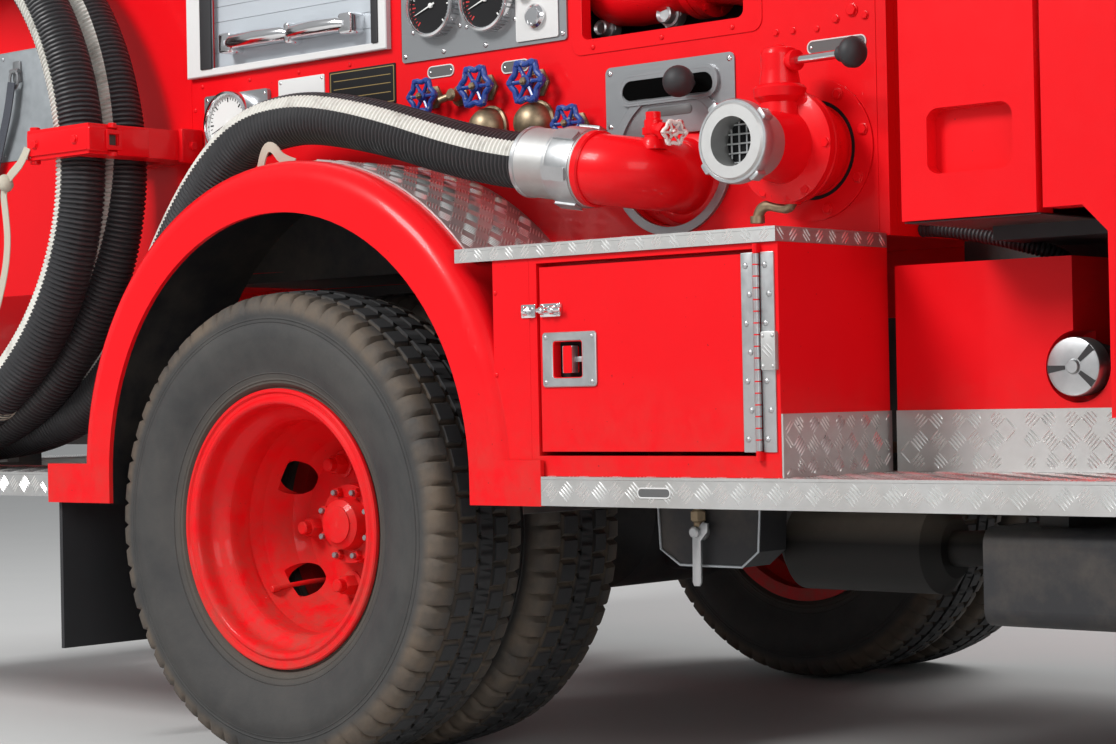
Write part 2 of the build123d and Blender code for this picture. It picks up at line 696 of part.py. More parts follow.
# Doors, each a whole panel of the cab's side with its window cut and glazed
handle_z = 1120
for name, side in sides.items():
    for place, (outline, window) in door_outlines.items():
        with BuildPart() as door:
            add(cab_outer)
            add(cab_inner, mode=Mode.SUBTRACT)
            cut_side(side, grown(outline, 0), Mode.INTERSECT)
            cut_side(side, grown(window, 0, corner=45), Mode.SUBTRACT)
            handle_x = outline[0][0] + 60
            side_prism(side, cab_half_width - 16, cab_half_width + 5,
                       rectangle(handle_x, handle_x + 150, handle_z - 26, handle_z + 26),
                       Mode.SUBTRACT, corner=12)
            side_prism(side, cab_half_width - 18, cab_half_width + 8,
                       rectangle(handle_x + 8, handle_x + 22, handle_z - 10, handle_z + 10))
            side_prism(side, cab_half_width - 4, cab_half_width + 8,
                       rectangle(handle_x + 8, handle_x + 142, handle_z - 10, handle_z + 10), corner=4)
            door_barrels(side, place)
        save(door, f"door_{place}_{name}")

        with BuildPart() as pane:
            add(glass_outer)
            add(glass_inner, mode=Mode.SUBTRACT)
            cut_side(side, grown(window, -seat_gap, corner=45), Mode.INTERSECT)
        save(pane, f"glass_{place}_{name}")

# Cab floor: one folded sheet over the rear footwell, the engine and the front footwell
floor_end_x = nose_x - 70
floor_line = [(cab_rear_x + cab_wall + seat_gap, rear_ledge_z), (rear_ledge_x, rear_ledge_z),
              (rear_ledge_x, rear_floor_z), (platform_rear_x, rear_floor_z), (platform_rear_x, platform_z),
              (platform_front_x, platform_z), (platform_front_x, front_floor_z), (floor_end_x, front_floor_z)]
under_line = [(cab_rear_x + cab_wall + seat_gap, rear_ledge_z - floor_thickness),
              (rear_ledge_x - floor_thickness, rear_ledge_z - floor_thickness),
              (rear_ledge_x - floor_thickness, rear_floor_z - floor_thickness),
              (platform_rear_x + floor_thickness, rear_floor_z - floor_thickness),
              (platform_rear_x + floor_thickness, platform_z - floor_thickness),
              (platform_front_x - floor_thickness, platform_z - floor_thickness),
              (platform_front_x - floor_thickness, front_floor_z - floor_thickness),
              (floor_end_x, front_floor_z - floor_thickness)]
floor_narrow = floor_half_width - 110
cab_mounts = ((cab_rear_x + 235, rear_ledge_z), (platform_rear_x - 115, rear_floor_z),
              (platform_front_x + 135, front_floor_z))
with BuildPart() as cab_floor:
    prism(Plane.XZ, floor_line + under_line[::-1], floor_narrow, both=True)
    for side in sides.values():
        side_prism(side, floor_narrow, floor_half_width,
                   rectangle(rear_ledge_x, platform_rear_x, rear_floor_z - floor_thickness, rear_floor_z))
        side_prism(side, floor_narrow, floor_half_width,
                   rectangle(platform_front_x, front_door_front_x, front_floor_z - floor_thickness,
                             front_floor_z))
        for x, z in cab_mounts:
            slab((x - 40, x + 40), (side * rail_inner_y, side * frame_outer_y),
                 (frame_top + seat_gap, z - floor_thickness))
save(cab_floor, "cab_floor")

# Mudguards over the front wheels, hung under the cab floor, and mud flaps behind all four wheel places
guard_radius = 452
guard_skin = 6
with BuildPart() as mudguards:
    for side in sides.values():
        slab((rear_foot_x + 10, rear_foot_x + 18), (side * 480, side * 930), (165, outrigger_top - 8))
        with BuildSketch(Plane.XZ.offset(-side * 560)) as arch:
            with BuildLine():
                for r, order in ((guard_radius + guard_skin, 1), (guard_radius, -1)):
                    spots = [(front_axle_x + r * cos(radians(a)), axle_height + r * sin(radians(a)))
                             for a in (12, 90, 168)][::order]
                    ThreePointArc(*spots)
                Line((front_axle_x + (guard_radius + guard_skin) * cos(radians(168)),
                      axle_height + (guard_radius + guard_skin) * sin(radians(168))),
                     (front_axle_x + guard_radius * cos(radians(168)),
                      axle_height + guard_radius * sin(radians(168))))
                Line((front_axle_x + (guard_radius + guard_skin) * cos(radians(12)),
                      axle_height + (guard_radius + guard_skin) * sin(radians(12))),
                     (front_axle_x + guard_radius * cos(radians(12)),
                      axle_height + guard_radius * sin(radians(12))))
            make_face()
        extrude(arch.sketch, amount=-side * 280)
        slab((front_axle_x - 15, front_axle_x + 15), (side * 600, side * 630),
             (axle_height + guard_radius, platform_z - floor_thickness - seat_gap))
save(mudguards, "mudguards")

# Front bumper, wrapped round the corners, with a lamp recess each side
bumper_z = (330, 552)
bumper_rear_x = front_end_x - 445
with BuildPart() as front_bumper:
    slab((bumper_rear_x, front_end_x), (-860, 860), bumper_z)
    fillet(front_bumper.edges().filter_by(Axis.Z).sort_by(Axis.X)[2:], 140)
    fillet(front_bumper.faces().sort_by(Axis.X)[-1].edges(), 18)
    slab((bumper_rear_x - 30, front_end_x - 45), (-815, 815), (bumper_z[0] - 5, bumper_z[1] - 20), Mode.SUBTRACT)
    slab((bumper_rear_x - 30, front_end_x - 135), (-815, 815), (bumper_z[0] - 5, bumper_z[1] + 5), Mode.SUBTRACT)
    for side in sides.values():
        slab((front_end_x - 20, front_end_x + 10), (side * 440, side * 660), (395, 480), Mode.SUBTRACT)
        slab((frame_front_x + seat_gap, front_end_x - 44), (side * 300, side * 345),
             (bumper_z[1] - 60, bumper_z[1] - 10))
save(front_bumper, "front_bumper")

# Grille on the cab's nose: a frame round sloping bars
grille_z = (700, 985)
with BuildPart() as grille:
    nose_face = nose_x + 1
    slab((nose_face - 8, nose_face + 14), (-560, 560), grille_z)
    fillet(grille.edges().filter_by(Axis.X), 36)
    slab((nose_face - 10, nose_face + 20), (-530, 530), (grille_z[0] + 26, grille_z[1] - 26), Mode.SUBTRACT)
    for index in range(4):
        bar_z = grille_z[0] + 45 + index * 52
        slab((nose_face - 8, nose_face + 8), (-532, 532), (bar_z, bar_z + 26))
    slab((nose_face - 8, nose_face - 4), (-532, 532), (grille_z[0] + 20, grille_z[1] - 20))
save(grille, "grille")

# Headlamps with their indicators, at the foot of the nose
with BuildPart() as headlamps:
    for side in sides.values():
        slab((nose_x - 4, nose_x + 16), (side * 470, side * 670), (590, 680))
        slab((front_end_x - 19.7, front_end_x - 6), (side * 445, side * 655), (400, 475))
save(headlamps, "headlamps")

# Dashboard and the right-hand steering wheel on its column
dash_x = nose_x - 355
wheel_centre = (dash_x - 130, -390, 1280)
with BuildPart() as dashboard:
    prism(Plane.XZ, [(dash_x + 20, 1000), (dash_x, 1150), (dash_x + 80, 1210), (dash_x + 220, 1190),
                     (dash_x + 220, 1000)], 640, both=True, corner=20)
    slab((dash_x + 160, dash_x + 200), (-500, 500), (front_floor_z + seat_gap, 1005))
    wheel_frame = Plane(origin=wheel_centre, x_dir=(0, 1, 0), z_dir=(-0.55, 0, 0.835))
    with BuildSketch(Plane(origin=wheel_centre, x_dir=wheel_frame.x_dir, z_dir=wheel_frame.y_dir)) as grip:
        with Locations((190, 0)):
            Circle(14)
    revolve(grip.sketch, axis=Axis(wheel_centre, wheel_frame.z_dir))
    rod(wheel_centre, tuple(Vector(*wheel_centre) + wheel_frame.z_dir * -270), 24)
    for angle in (90, 210, 330):
        tip = Vector(*wheel_centre) + wheel_frame.x_dir * (186 * cos(radians(angle))) \
            + wheel_frame.y_dir * (186 * sin(radians(angle)))
        rod(wheel_centre, tuple(tip), 10)
save(dashboard, "dashboard")

# Seats: two in front with a narrow middle one, and a bench behind
cushion_x = (platform_rear_x + 305, platform_rear_x + 815)
bench_half = 720
with BuildPart() as seats:
    for y, width in ((-390, 500), (0, 250), (390, 500)):
        slab(cushion_x, (y - width / 2, y + width / 2), (platform_z + seat_gap, platform_z + 130))
        prism(Plane.XZ.offset(-y - width / 2),
              [(cushion_x[0] + 10, platform_z + 100), (cushion_x[0] - 130, platform_z + 100),
               (cushion_x[0] - 200, 1620), (cushion_x[0] - 100, 1640)], width)
    fillet(seats.edges().filter_by(Axis.Y), 28)
    slab((rear_ledge_x + seat_gap, rear_ledge_x + 275), (-bench_half, bench_half), (rear_floor_z + seat_gap, 900))
    slab((cab_rear_x + 95, rear_ledge_x + 315), (-bench_half, bench_half), (895, 1010))
    prism(Plane.XZ, [(cab_rear_x + 185, 960), (cab_rear_x + 85, 960), (cab_rear_x + cab_wall + seat_gap, 1560),
                     (cab_rear_x + 135, 1570)], bench_half, both=True)
save(seats, "seats")

# Mirrors on tube arms ahead of the front doors
mirror_x = nose_x - 235
mirror_y = cab_half_width - 4.3
with BuildPart() as mirrors:
    for side in sides.values():
        pipe([(mirror_x, side * mirror_y, 1260), (mirror_x + 10, side * 960, 1260),
              (mirror_x + 10, side * 1000, 1330), (mirror_x + 10, side * 1000, 1690)], 9, 22)
        slab((mirror_x - 30, mirror_x + 4), (side * 930, side * 1080), (1380, 1680))
save(mirrors, "mirrors")

# Warning light bar and siren across the roof
light_bar_x = screen_head[0] - 340
with BuildPart() as light_bar:
    slab((light_bar_x, light_bar_x + 260), (-640, 640), (cab_roof_z + 26, cab_roof_z + 150))
    fillet(light_bar.edges().filter_by(Axis.Y), 40)
    for y in (-520, 520):
        slab((light_bar_x + 80, light_bar_x + 180), (y - 40, y + 40), (cab_roof_z + seat_gap, cab_roof_z + 30))
save(light_bar, "light_bar")

# Body sides: the pump panel, with a shutter opening, a pipe window and the inlets' holes
shutter_x = (rear_axle_x - 453, rear_axle_x + 48)
shutter_z = (1155, body_top - 60)
shutter_open_x = (shutter_x[0] + 59, shutter_x[1] - 22)
shutter_open_z = (shutter_z[0] + 13, shutter_z[1] - 40)
window_x = (rear_axle_x + 461, rear_axle_x + 768)
window_z = (1123, deck_height - 30)
riser_split_x = rear_axle_x + 1290
riser_front_x = rear_axle_x + 1600
riser_tops = (750, 600)
riser_depth = 120
suction_x = rear_axle_x + 632
suction_z = 927
relay_x = rear_axle_x + 887
relay_z = 920
slot_x = (rear_axle_x + 544, rear_axle_x + 715)
slot_z = (1015, 1050)
panel_inner_y = body_half_width - body_wall

with BuildPart() as body_sides:
    for side in sides.values():
        side_prism(side, panel_inner_y, body_half_width, rectangle(body_rear_x, body_front_x, body_bottom, body_top))
        side_prism(side, panel_inner_y - 5, body_half_width + 5,
                   rectangle(*shutter_open_x, *shutter_open_z), Mode.SUBTRACT)
        side_prism(side, panel_inner_y - 5, body_half_width + 5, rectangle(*window_x, *window_z),
                   Mode.SUBTRACT, corner=12)
        side_prism(side, panel_inner_y - 5, body_half_width + 5, rectangle(*slot_x, *slot_z),
                   Mode.SUBTRACT, corner=17)
        drum(side, suction_x, suction_z, panel_inner_y - 5, body_half_width + 5, 98, Mode.SUBTRACT)
        drum(side, relay_x, relay_z, panel_inner_y - 5, body_half_width + 5, 84, Mode.SUBTRACT)
        side_prism(side, body_half_width - riser_depth, body_half_width,
                   rectangle(locker_front_x + 12, riser_split_x, step_top + seat_gap, riser_tops[0]))
        side_prism(side, body_half_width - riser_depth, body_half_width,
                   rectangle(riser_split_x, riser_front_x, step_top + seat_gap, riser_tops[1]))
    drum(sides["right"], filler_x, filler_z, body_half_width - notch_depth, body_half_width + 5,
         filler_notch_radius, Mode.SUBTRACT)
save(body_sides, "body_sides")

# Pump behind the panels, as one block with the pipe that shows in the window
pump_half_width = 300
pump_x = (rear_axle_x + 380, rear_axle_x + 940)
riser_pipe_x = rear_axle_x + 620
riser_pipe_y = 430
branch_z = deck_height - 120
with BuildPart() as pump:
    slab(pump_x, (-pump_half_width, pump_half_width), (body_bottom + body_wall + seat_gap, deck_height - 70))
    for side in sides.values():
        rod((riser_pipe_x, side * riser_pipe_y, elbow_z + 80),
            (riser_pipe_x, side * riser_pipe_y, deck_height - seat_gap), 45)
        rod((riser_pipe_x, side * (pump_half_width - 10), branch_z),
            (riser_pipe_x, side * riser_pipe_y, branch_z), 40)
save(pump, "pump")

# Body ends, floor, sills and the open hose bed on top, each panel against the next
wall_x = (body_rear_x + body_wall + seat_gap, body_front_x - body_wall - seat_gap)
skirt_front_x = arch_centre_x - arch_outer_radius - 25
skirt_foot_z = 640
with BuildPart() as body_core:
    inner_y = panel_inner_y - seat_gap
    slab((body_rear_x, body_rear_x + body_wall), (-inner_y, inner_y), (body_bottom, body_top))
    slab((body_front_x - body_wall, body_front_x), (-inner_y, inner_y), (body_bottom, body_top))
    slab(wall_x, (-inner_y, inner_y), (deck_height, deck_height + body_wall))
    slab(wall_x, (-inner_y, inner_y), (body_bottom, body_bottom + body_wall))
    for side in sides.values():
        slab((body_rear_x, body_front_x), (side * rail_inner_y, side * frame_outer_y),
             (frame_top + seat_gap, body_bottom - seat_gap))
        skirt = [(side * (body_half_width - 119), skirt_foot_z), (side * (body_half_width - 129), skirt_foot_z + 8),
                 (side * (body_half_width - 24), body_bottom - seat_gap),
                 (side * body_half_width, body_bottom - seat_gap)]
        prism(Plane.YZ.offset(body_rear_x), skirt, skirt_front_x - body_rear_x)
save(body_core, "body_core")

# Rear wheel arches: a rounded skin from the panel out to the full width
side = sides["right"]
with BuildPart() as fenders:
    with BuildSketch(Plane.XZ.offset(-side * (body_half_width + seat_gap))) as outline:
        with BuildLine():
            rear_arc_x = arch_centre_x - arch_outer_radius
            front_arc_x = arch_centre_x + arch_outer_radius
            Polyline((front_arc_x, arch_centre_z), (front_arc_x, front_foot_z),
                     (rear_arc_x, front_foot_z), (rear_arc_x, arch_centre_z))
            ThreePointArc((rear_arc_x, arch_centre_z), (arch_centre_x, arch_centre_z + arch_outer_radius),
                          (front_arc_x, arch_centre_z))
        make_face()
    extrude(outline.sketch, amount=-side * (half_width - body_half_width - seat_gap))
    fillet(fenders.edges().filter_by(GeomType.CIRCLE).sort_by(Axis.Y)[0], arch_round)
    with BuildSketch(Plane.XZ.offset(-side * (body_half_width - 5))) as house:
        with BuildLine():
            house_radius = arch_outer_radius - arch_skin
            Polyline((arch_centre_x + house_radius, arch_centre_z), (arch_centre_x + house_radius, 300),
                     (arch_centre_x - house_radius, 300), (arch_centre_x - house_radius, arch_centre_z))
            ThreePointArc((arch_centre_x - house_radius, arch_centre_z),
                          (arch_centre_x, arch_centre_z + house_radius),
                          (arch_centre_x + house_radius, arch_centre_z))
        make_face()
    extrude(house.sketch, amount=-side * (half_width - arch_round - body_half_width + 5), mode=Mode.SUBTRACT)
    with BuildSketch(Plane.XZ.offset(-side * (half_width - arch_round - 10))) as mouth:
        with BuildLine():
            Polyline((arch_centre_x + arch_inner_radius, arch_centre_z),
                     (arch_centre_x + arch_inner_radius, 300),
                     (arch_centre_x - arch_inner_radius, 300),
                     (arch_centre_x - arch_inner_radius, arch_centre_z))
            ThreePointArc((arch_centre_x - arch_inner_radius, arch_centre_z),
                          (arch_centre_x, arch_centre_z + arch_inner_radius),
                          (arch_centre_x + arch_inner_radius, arch_centre_z))
        make_face()
    extrude(mouth.sketch, amount=-side * 60, mode=Mode.SUBTRACT)
    # the hollow behind the face, clear of the outer tyre
    with BuildSketch(Plane.XZ.offset(-side * (half_width - arch_round - 1))) as rebate:
        with BuildLine():
            rebate_radius = arch_outer_radius - arch_round
            Polyline((arch_centre_x + rebate_radius, arch_centre_z), (arch_centre_x + rebate_radius, 300),
                     (arch_centre_x - rebate_radius, 300), (arch_centre_x - rebate_radius, arch_centre_z))
            ThreePointArc((arch_centre_x - rebate_radius, arch_centre_z),
                          (arch_centre_x, arch_centre_z + rebate_radius),
                          (arch_centre_x + rebate_radius, arch_centre_z))
        make_face()
    extrude(rebate.sketch, amount=-side * (arch_round + 1 - arch_skin), mode=Mode.SUBTRACT)
    side_prism(side, half_width - arch_skin, half_width,
               rectangle(rear_foot_x, arch_centre_x - arch_inner_radius, rear_foot_z, 482))
    side_prism(side, half_width - arch_skin, half_width,
               rectangle(arch_centre_x + arch_inner_radius, front_foot_x, front_foot_z, 490))
    side_prism(side, locker_face_y - arch_skin, locker_face_y,
               rectangle(rear_axle_x + 500, locker_rear_x - seat_gap, 480, locker_top))
    mirror(about=Plane.XZ)
save(fenders, "fenders")

# Lockers: a hollow box each side, its door hinged at the front edge
hinge_x = locker_door_front_x + 3
hinge_y = locker_face_y + 6
hinge_radius = 4
leaf_depth = 2
with BuildPart() as lockers:
    for side in sides.values():
        side_prism(side, body_half_width + seat_gap, locker_face_y,
                   rectangle(locker_rear_x, locker_front_x, locker_bottom + seat_gap, locker_top - seat_gap))
        side_prism(side, body_half_width + locker_wall, locker_face_y - 19,
                   rectangle(locker_rear_x + locker_wall, locker_front_x - locker_wall,
                             locker_bottom + locker_wall, locker_top - locker_wall), Mode.SUBTRACT)
        side_prism(side, locker_face_y - 25, locker_face_y + 5,
                   rectangle(locker_door_rear_x - 6, locker_door_front_x + 6, locker_door_bottom - 6,
                             locker_door_top + 6), Mode.SUBTRACT)
        side_prism(side, locker_face_y, locker_face_y + leaf_depth,
                   rectangle(hinge_x + 6, hinge_x + 26, locker_door_bottom, locker_door_top))
        for z, end in ((locker_door_bottom, -1), (locker_door_top, 1)):
            side_prism(side, locker_face_y, hinge_y,
                       rectangle(hinge_x - 4, hinge_x + 4, z + end * seat_gap, z + end * 12))
            rod((hinge_x, side * hinge_y, z + end * seat_gap), (hinge_x, side * hinge_y, z + end * 12), hinge_radius)
            rod((hinge_x, side * hinge_y, z - end * 10), (hinge_x, side * hinge_y, z + end * 12), pin_radius)
save(lockers, "lockers")

for name, side in sides.items():
    with BuildPart() as locker_door:
        side_prism(side, locker_face_y - 18, locker_face_y,
                   rectangle(locker_door_rear_x, locker_door_front_x, locker_door_bottom, locker_door_top))
        side_prism(side, locker_face_y, locker_face_y + 3,
                   rectangle(hinge_x - 26, hinge_x, locker_door_bottom, locker_door_top))
        rod((hinge_x, side * hinge_y, locker_door_bottom), (hinge_x, side * hinge_y, locker_door_top), hinge_radius)
        rod((hinge_x, side * hinge_y, locker_door_bottom), (hinge_x, side * hinge_y, locker_door_top),
            pin_radius + shaft_gap, Mode.SUBTRACT)
        side_prism(side, locker_face_y, locker_face_y + leaf_depth,
                   rectangle(rear_axle_x + 596, rear_axle_x + 694, 593, 669), corner=4)
        side_prism(side, locker_face_y - 14, locker_face_y + 5,
                   rectangle(rear_axle_x + 616, rear_axle_x + 668, 606, 656), Mode.SUBTRACT, corner=4)
        side_prism(side, locker_face_y - 14, locker_face_y + 3,
                   rectangle(rear_axle_x + 634, rear_axle_x + 650, 612, 650), corner=3)
        side_prism(side, locker_face_y, locker_face_y + 4,
                   rectangle(rear_axle_x + 593, rear_axle_x + 631, 692, 710), corner=2)
    save(locker_door, f"locker_door_{name}")

# Tread plates: steps with turned-down edges, locker covers, kick plates and the deck over each wheel arch
kick_plate = 3
deck_outer_y = half_width - arch_round - 16
deck_angles = (40, 60, 84)
cover_rear_x = rear_axle_x + 430
cover_y = half_width - 5


def arc_spots(radius, angles):
    return [(arch_centre_x + radius * cos(radians(a)), arch_centre_z + radius * sin(radians(a))) for a in angles]


with BuildPart() as tread_plates:
    slab((rear_end_x, body_rear_x + 40), (-half_width, half_width), (step_top - plate, step_top))
    slab((rear_end_x, rear_end_x + plate), (-half_width, half_width),
         (step_top - step_edge, step_top - plate - seat_gap))
    for side in sides.values():
        for x in ((front_foot_x + seat_gap, step_front_x), (body_rear_x + 40 + seat_gap, rear_foot_x - seat_gap)):
            side_prism(side, body_half_width - 40, half_width, rectangle(*x, step_top - plate, step_top))
            side_prism(side, half_width - plate, half_width,
                       rectangle(*x, step_top - step_edge, step_top - plate - seat_gap))
        side_prism(side, half_width - plate, half_width,
                   rectangle(rear_end_x + plate + seat_gap, body_rear_x + 40, step_top - step_edge,
                             step_top - plate - seat_gap))
        side_prism(side, body_half_width + seat_gap, cover_y,
                   rectangle(cover_rear_x, locker_front_x, cover_top - plate, cover_top))
        side_prism(side, cover_y - plate, cover_y,
                   rectangle(cover_rear_x, locker_front_x, locker_top, cover_top - plate - seat_gap))
        side_prism(side, body_half_width + seat_gap, cover_y - plate - seat_gap,
                   rectangle(locker_front_x - plate, locker_front_x, locker_top, cover_top - plate - seat_gap))
        side_prism(side, body_half_width + seat_gap, locker_face_y - seat_gap,
                   rectangle(locker_front_x + seat_gap, locker_front_x + kick_plate, step_top + seat_gap, kick_top))
        side_prism(side, body_half_width + seat_gap, body_half_width + kick_plate,
                   rectangle(locker_front_x + 12, riser_front_x, step_top + seat_gap, kick_top))
        deck_inner = arc_spots(arch_outer_radius + seat_gap, deck_angles)
        deck_outer = arc_spots(arch_outer_radius + kick_plate, deck_angles)
        with BuildSketch(Plane.XZ.offset(-side * (body_half_width + seat_gap))) as deck:
            with BuildLine():
                ThreePointArc(*deck_inner)
                Line(deck_inner[2], deck_outer[2])
                ThreePointArc(*deck_outer[::-1])
                Line(deck_outer[0], deck_inner[0])
            make_face()
        extrude(deck.sketch, amount=-side * (deck_outer_y - body_half_width - seat_gap))
save(tread_plates, "tread_plates")

# Roller shutters: on each side a frame round flat slats with a lift bar, and a wider one at the back
slat_pitch = 38
slat_gap = 4
slat_face_y = body_half_width - 4
slat_back_y = body_half_width - 14
lift_bar_x = (rear_axle_x - 332, rear_axle_x - 32)
lift_bar_z = 1205
lift_bar_y = body_half_width + 22
lift_bar_radius = 9
rear_shutter_half = 540
rear_shutter_z = (860, body_top - 60)
with BuildPart() as roller_shutters:
    for side in sides.values():
        face = body_half_width + seat_gap
        side_prism(side, face, face + 10, rectangle(*shutter_x, *shutter_z))
        side_prism(side, face - 5, face + 15, rectangle(*shutter_open_x, *shutter_open_z), Mode.SUBTRACT)
        slat_x = (shutter_open_x[0] + seat_gap, shutter_open_x[1] - seat_gap)
        side_prism(side, slat_back_y, slat_back_y + 6,
                   rectangle(*slat_x, shutter_open_z[0] + seat_gap, shutter_open_z[1] - seat_gap))
        for index in range(int((shutter_open_z[1] - shutter_open_z[0]) / slat_pitch)):
            low = shutter_open_z[0] + 3 + index * slat_pitch
            side_prism(side, slat_back_y + 5, slat_face_y, rectangle(*slat_x, low, low + slat_pitch - slat_gap))
        rod((lift_bar_x[0], side * lift_bar_y, lift_bar_z), (lift_bar_x[1], side * lift_bar_y, lift_bar_z),
            lift_bar_radius)
        for x in lift_bar_x:
            side_prism(side, slat_face_y - 1, lift_bar_y + 6,
                       rectangle(x - 14, x + 14, lift_bar_z - 16, lift_bar_z + 16), corner=6)
    slab((body_rear_x - 12, body_rear_x - seat_gap), (-rear_shutter_half, rear_shutter_half), rear_shutter_z)
    slab((body_rear_x - 20, body_rear_x - 6), (50 - rear_shutter_half, rear_shutter_half - 50),
         (rear_shutter_z[0] + 20, rear_shutter_z[1] - 50), Mode.SUBTRACT)
    for index in range(int((rear_shutter_z[1] - rear_shutter_z[0] - 74) / slat_pitch)):
        low = rear_shutter_z[0] + 24 + index * slat_pitch
        slab((body_rear_x - 11, body_rear_x - 5), (52 - rear_shutter_half, rear_shutter_half - 52),
             (low, low + slat_pitch - slat_gap))
save(roller_shutters, "roller_shutters")

# Plates on the pump panel: a gauge panel with two bezels and the switch plate, a square gauge to the rear, and
# the lever's plate round its slot, with the steel ring of the suction inlet
gauges = ((rear_axle_x + 155, 1212, 52), (rear_axle_x + 274, 1208, 52))
rear_gauge = (rear_axle_x - 336, 1065, 57)
bezel_depth = 22
ring_radii = (113, 100)
with BuildPart() as gauge_panels:
    for side in sides.values():
        face = body_half_width + seat_gap
        side_prism(side, face, face + 3, rectangle(rear_axle_x + 76, rear_axle_x + 432, 1128, 1300), corner=6)
        side_prism(side, face + 3, face + 5, rectangle(rear_axle_x + 329, rear_axle_x + 417, 1134, 1290), corner=4)
        for x, z, r in gauges:
            drum(side, x, z, face + 3, face + bezel_depth, r)
            drum(side, x, z, face + 14, face + bezel_depth + 5, r - 7, Mode.SUBTRACT)
        side_prism(side, face, face + 8, rectangle(rear_axle_x - 411, rear_axle_x - 246, 1009, 1120), corner=6)
        x, z, r = rear_gauge
        drum(side, x, z, face + 8, face + bezel_depth, r)
        drum(side, x, z, face + 16, face + bezel_depth + 5, r - 7, Mode.SUBTRACT)
        side_prism(side, face, face + 2, rectangle(rear_axle_x + 507, rear_axle_x + 751, 965, 1075), corner=10)
        drum(side, suction_x, suction_z, face, face + 6, ring_radii[0])
        drum(side, suction_x, suction_z, face - 1, face + 10, ring_radii[1], Mode.SUBTRACT)
        side_prism(side, face + 1, face + 8,
                   rectangle(slot_x[0] - 11, slot_x[1] + 9, slot_z[0] - 3, slot_z[1] + 12), corner=24)
        side_prism(side, face - 1, face + 10, rectangle(*slot_x, *slot_z), Mode.SUBTRACT, corner=17)
save(gauge_panels, "gauge_panels")

# Suction inlets: a round elbow out of the panel, turned back along the body
coupling_run = Vector(elbow_x - hose_start_x, 0, elbow_z - hose_start_z).normalized()
coupling_length = 125
with BuildPart() as suction_elbows:
    for side in sides.values():
        pipe([(elbow_x, side * (pump_half_width + seat_gap), elbow_z), (elbow_x, side * suction_y, elbow_z),
              (hose_start_x + coupling_length * coupling_run.X, side * suction_y,
               hose_start_z + coupling_length * coupling_run.Z)], 52, 60)
save(suction_elbows, "suction_elbows")

mouth_y = body_half_width + 196
with BuildPart() as couplings:
    for side in sides.values():
        turn(outward_plane(relay_x, side, relay_z),
             [(mouth_y - 61.7, 0), (mouth_y - 61.7, 46), (mouth_y - 20, 48), (mouth_y - 18, 54), (mouth_y - 4, 54),
              (mouth_y, 50), (mouth_y, 34), (mouth_y - 40, 34), (mouth_y - 40, 0)])
        turn(Plane(origin=(hose_start_x, side * suction_y, hose_start_z), x_dir=coupling_run, z_dir=(0, -1, 0)),
             [(0, 0), (0, 49), (4, 52), (70, 52), (72, 57), (122, 57), (124.7, 54), (124.7, 0)])
save(couplings, "couplings")

# Relay inlets: a flanged valve straight out of the panel
with BuildPart() as relay_inlets:
    for side in sides.values():
        turn(outward_plane(relay_x, side, relay_z),
             [(pump_half_width + seat_gap, 0), (pump_half_width + seat_gap, 70),
              (body_half_width + seat_gap, 70), (body_half_width + seat_gap, 100),
              (body_half_width + 2.5, 100), (body_half_width + 2.5, 62),
              (body_half_width + 52, 62), (body_half_width + 52, 76), (body_half_width + 74, 76),
              (body_half_width + 80, 52), (mouth_y - 62, 44), (mouth_y - 62, 0)])
        stem_y = side * (body_half_width + 80)
        rod((relay_x, stem_y, relay_z + 40), (relay_x, stem_y, relay_z + 128), 26)
        rod((relay_x, stem_y, relay_z + 70), (relay_x, stem_y, relay_z + 84), 34)
save(relay_inlets, "relay_inlets")

# Suction hose: over the wheel arch, down behind it and round its coil. Distances outwards are from the
# body's side: for the run down from the coupling, then for the turns of the coil.
turn_steps = 16
lead = [(-0.3, 121, 930.05), (-64, 121, 940), (-168, 121, 966), (-276, 121, 999), (-387, 121, 1026),
        (-500, 121, 1043), (-620, 120, 1030), (-725, 113, 968), (-830, 99, 872), (-945, 76, 745),
        (-1070, 57, 628), (-1220, 48, 548)]
lane = ((0.0, 45), (0.75, 89), (1.0, 133), (1.75, 181), (2.0, 220), (3.0, 220))


def lane_y(turns):
    # how far out the hose lies after so many turns, between the places where it's measured
    for (t0, y0), (t1, y1) in zip(lane, lane[1:]):
        if turns <= t1:
            return body_half_width + y0 + (y1 - y0) * (turns - t0) / (t1 - t0)


def coil_points(side):
    points = []
    for index in range(1, int(coil_turns * turn_steps) + 1):
        turns = index / turn_steps
        angle = -pi / 2 - 2 * pi * turns
        rise = coil_rise if sin(angle) > 0 else coil_drop
        points.append((coil_centre_x + coil_reach * cos(angle), side * lane_y(turns),
                       coil_centre_z + rise * sin(angle)))
    return points


def bend_radii(points):
    # as large as the two runs at each corner allow
    radii = []
    for a, b, c in zip(points, points[1:], points[2:]):
        before = Vector(*b) - Vector(*a)
        after = Vector(*c) - Vector(*b)
        bend = radians(before.get_angle(after))
        radii.append(0.45 * min(before.length, after.length) / tan(bend / 2))
    return radii


with BuildPart() as suction_hoses:
    for side in sides.values():
        route = [(hose_start_x + x, side * (body_half_width + y), z) for x, y, z in lead]
        route += [(coil_centre_x, side * lane_y(0), coil_centre_z - coil_drop)] + coil_points(side)
        with BuildLine() as hose_line:
            FilletPolyline(*route, radius=bend_radii(route))
        with BuildSketch(Plane(origin=hose_line.line @ 0, z_dir=hose_line.line % 0)):
            Circle(hose_radius)
        sweep(path=hose_line.line)
save(suction_hoses, "suction_hoses")

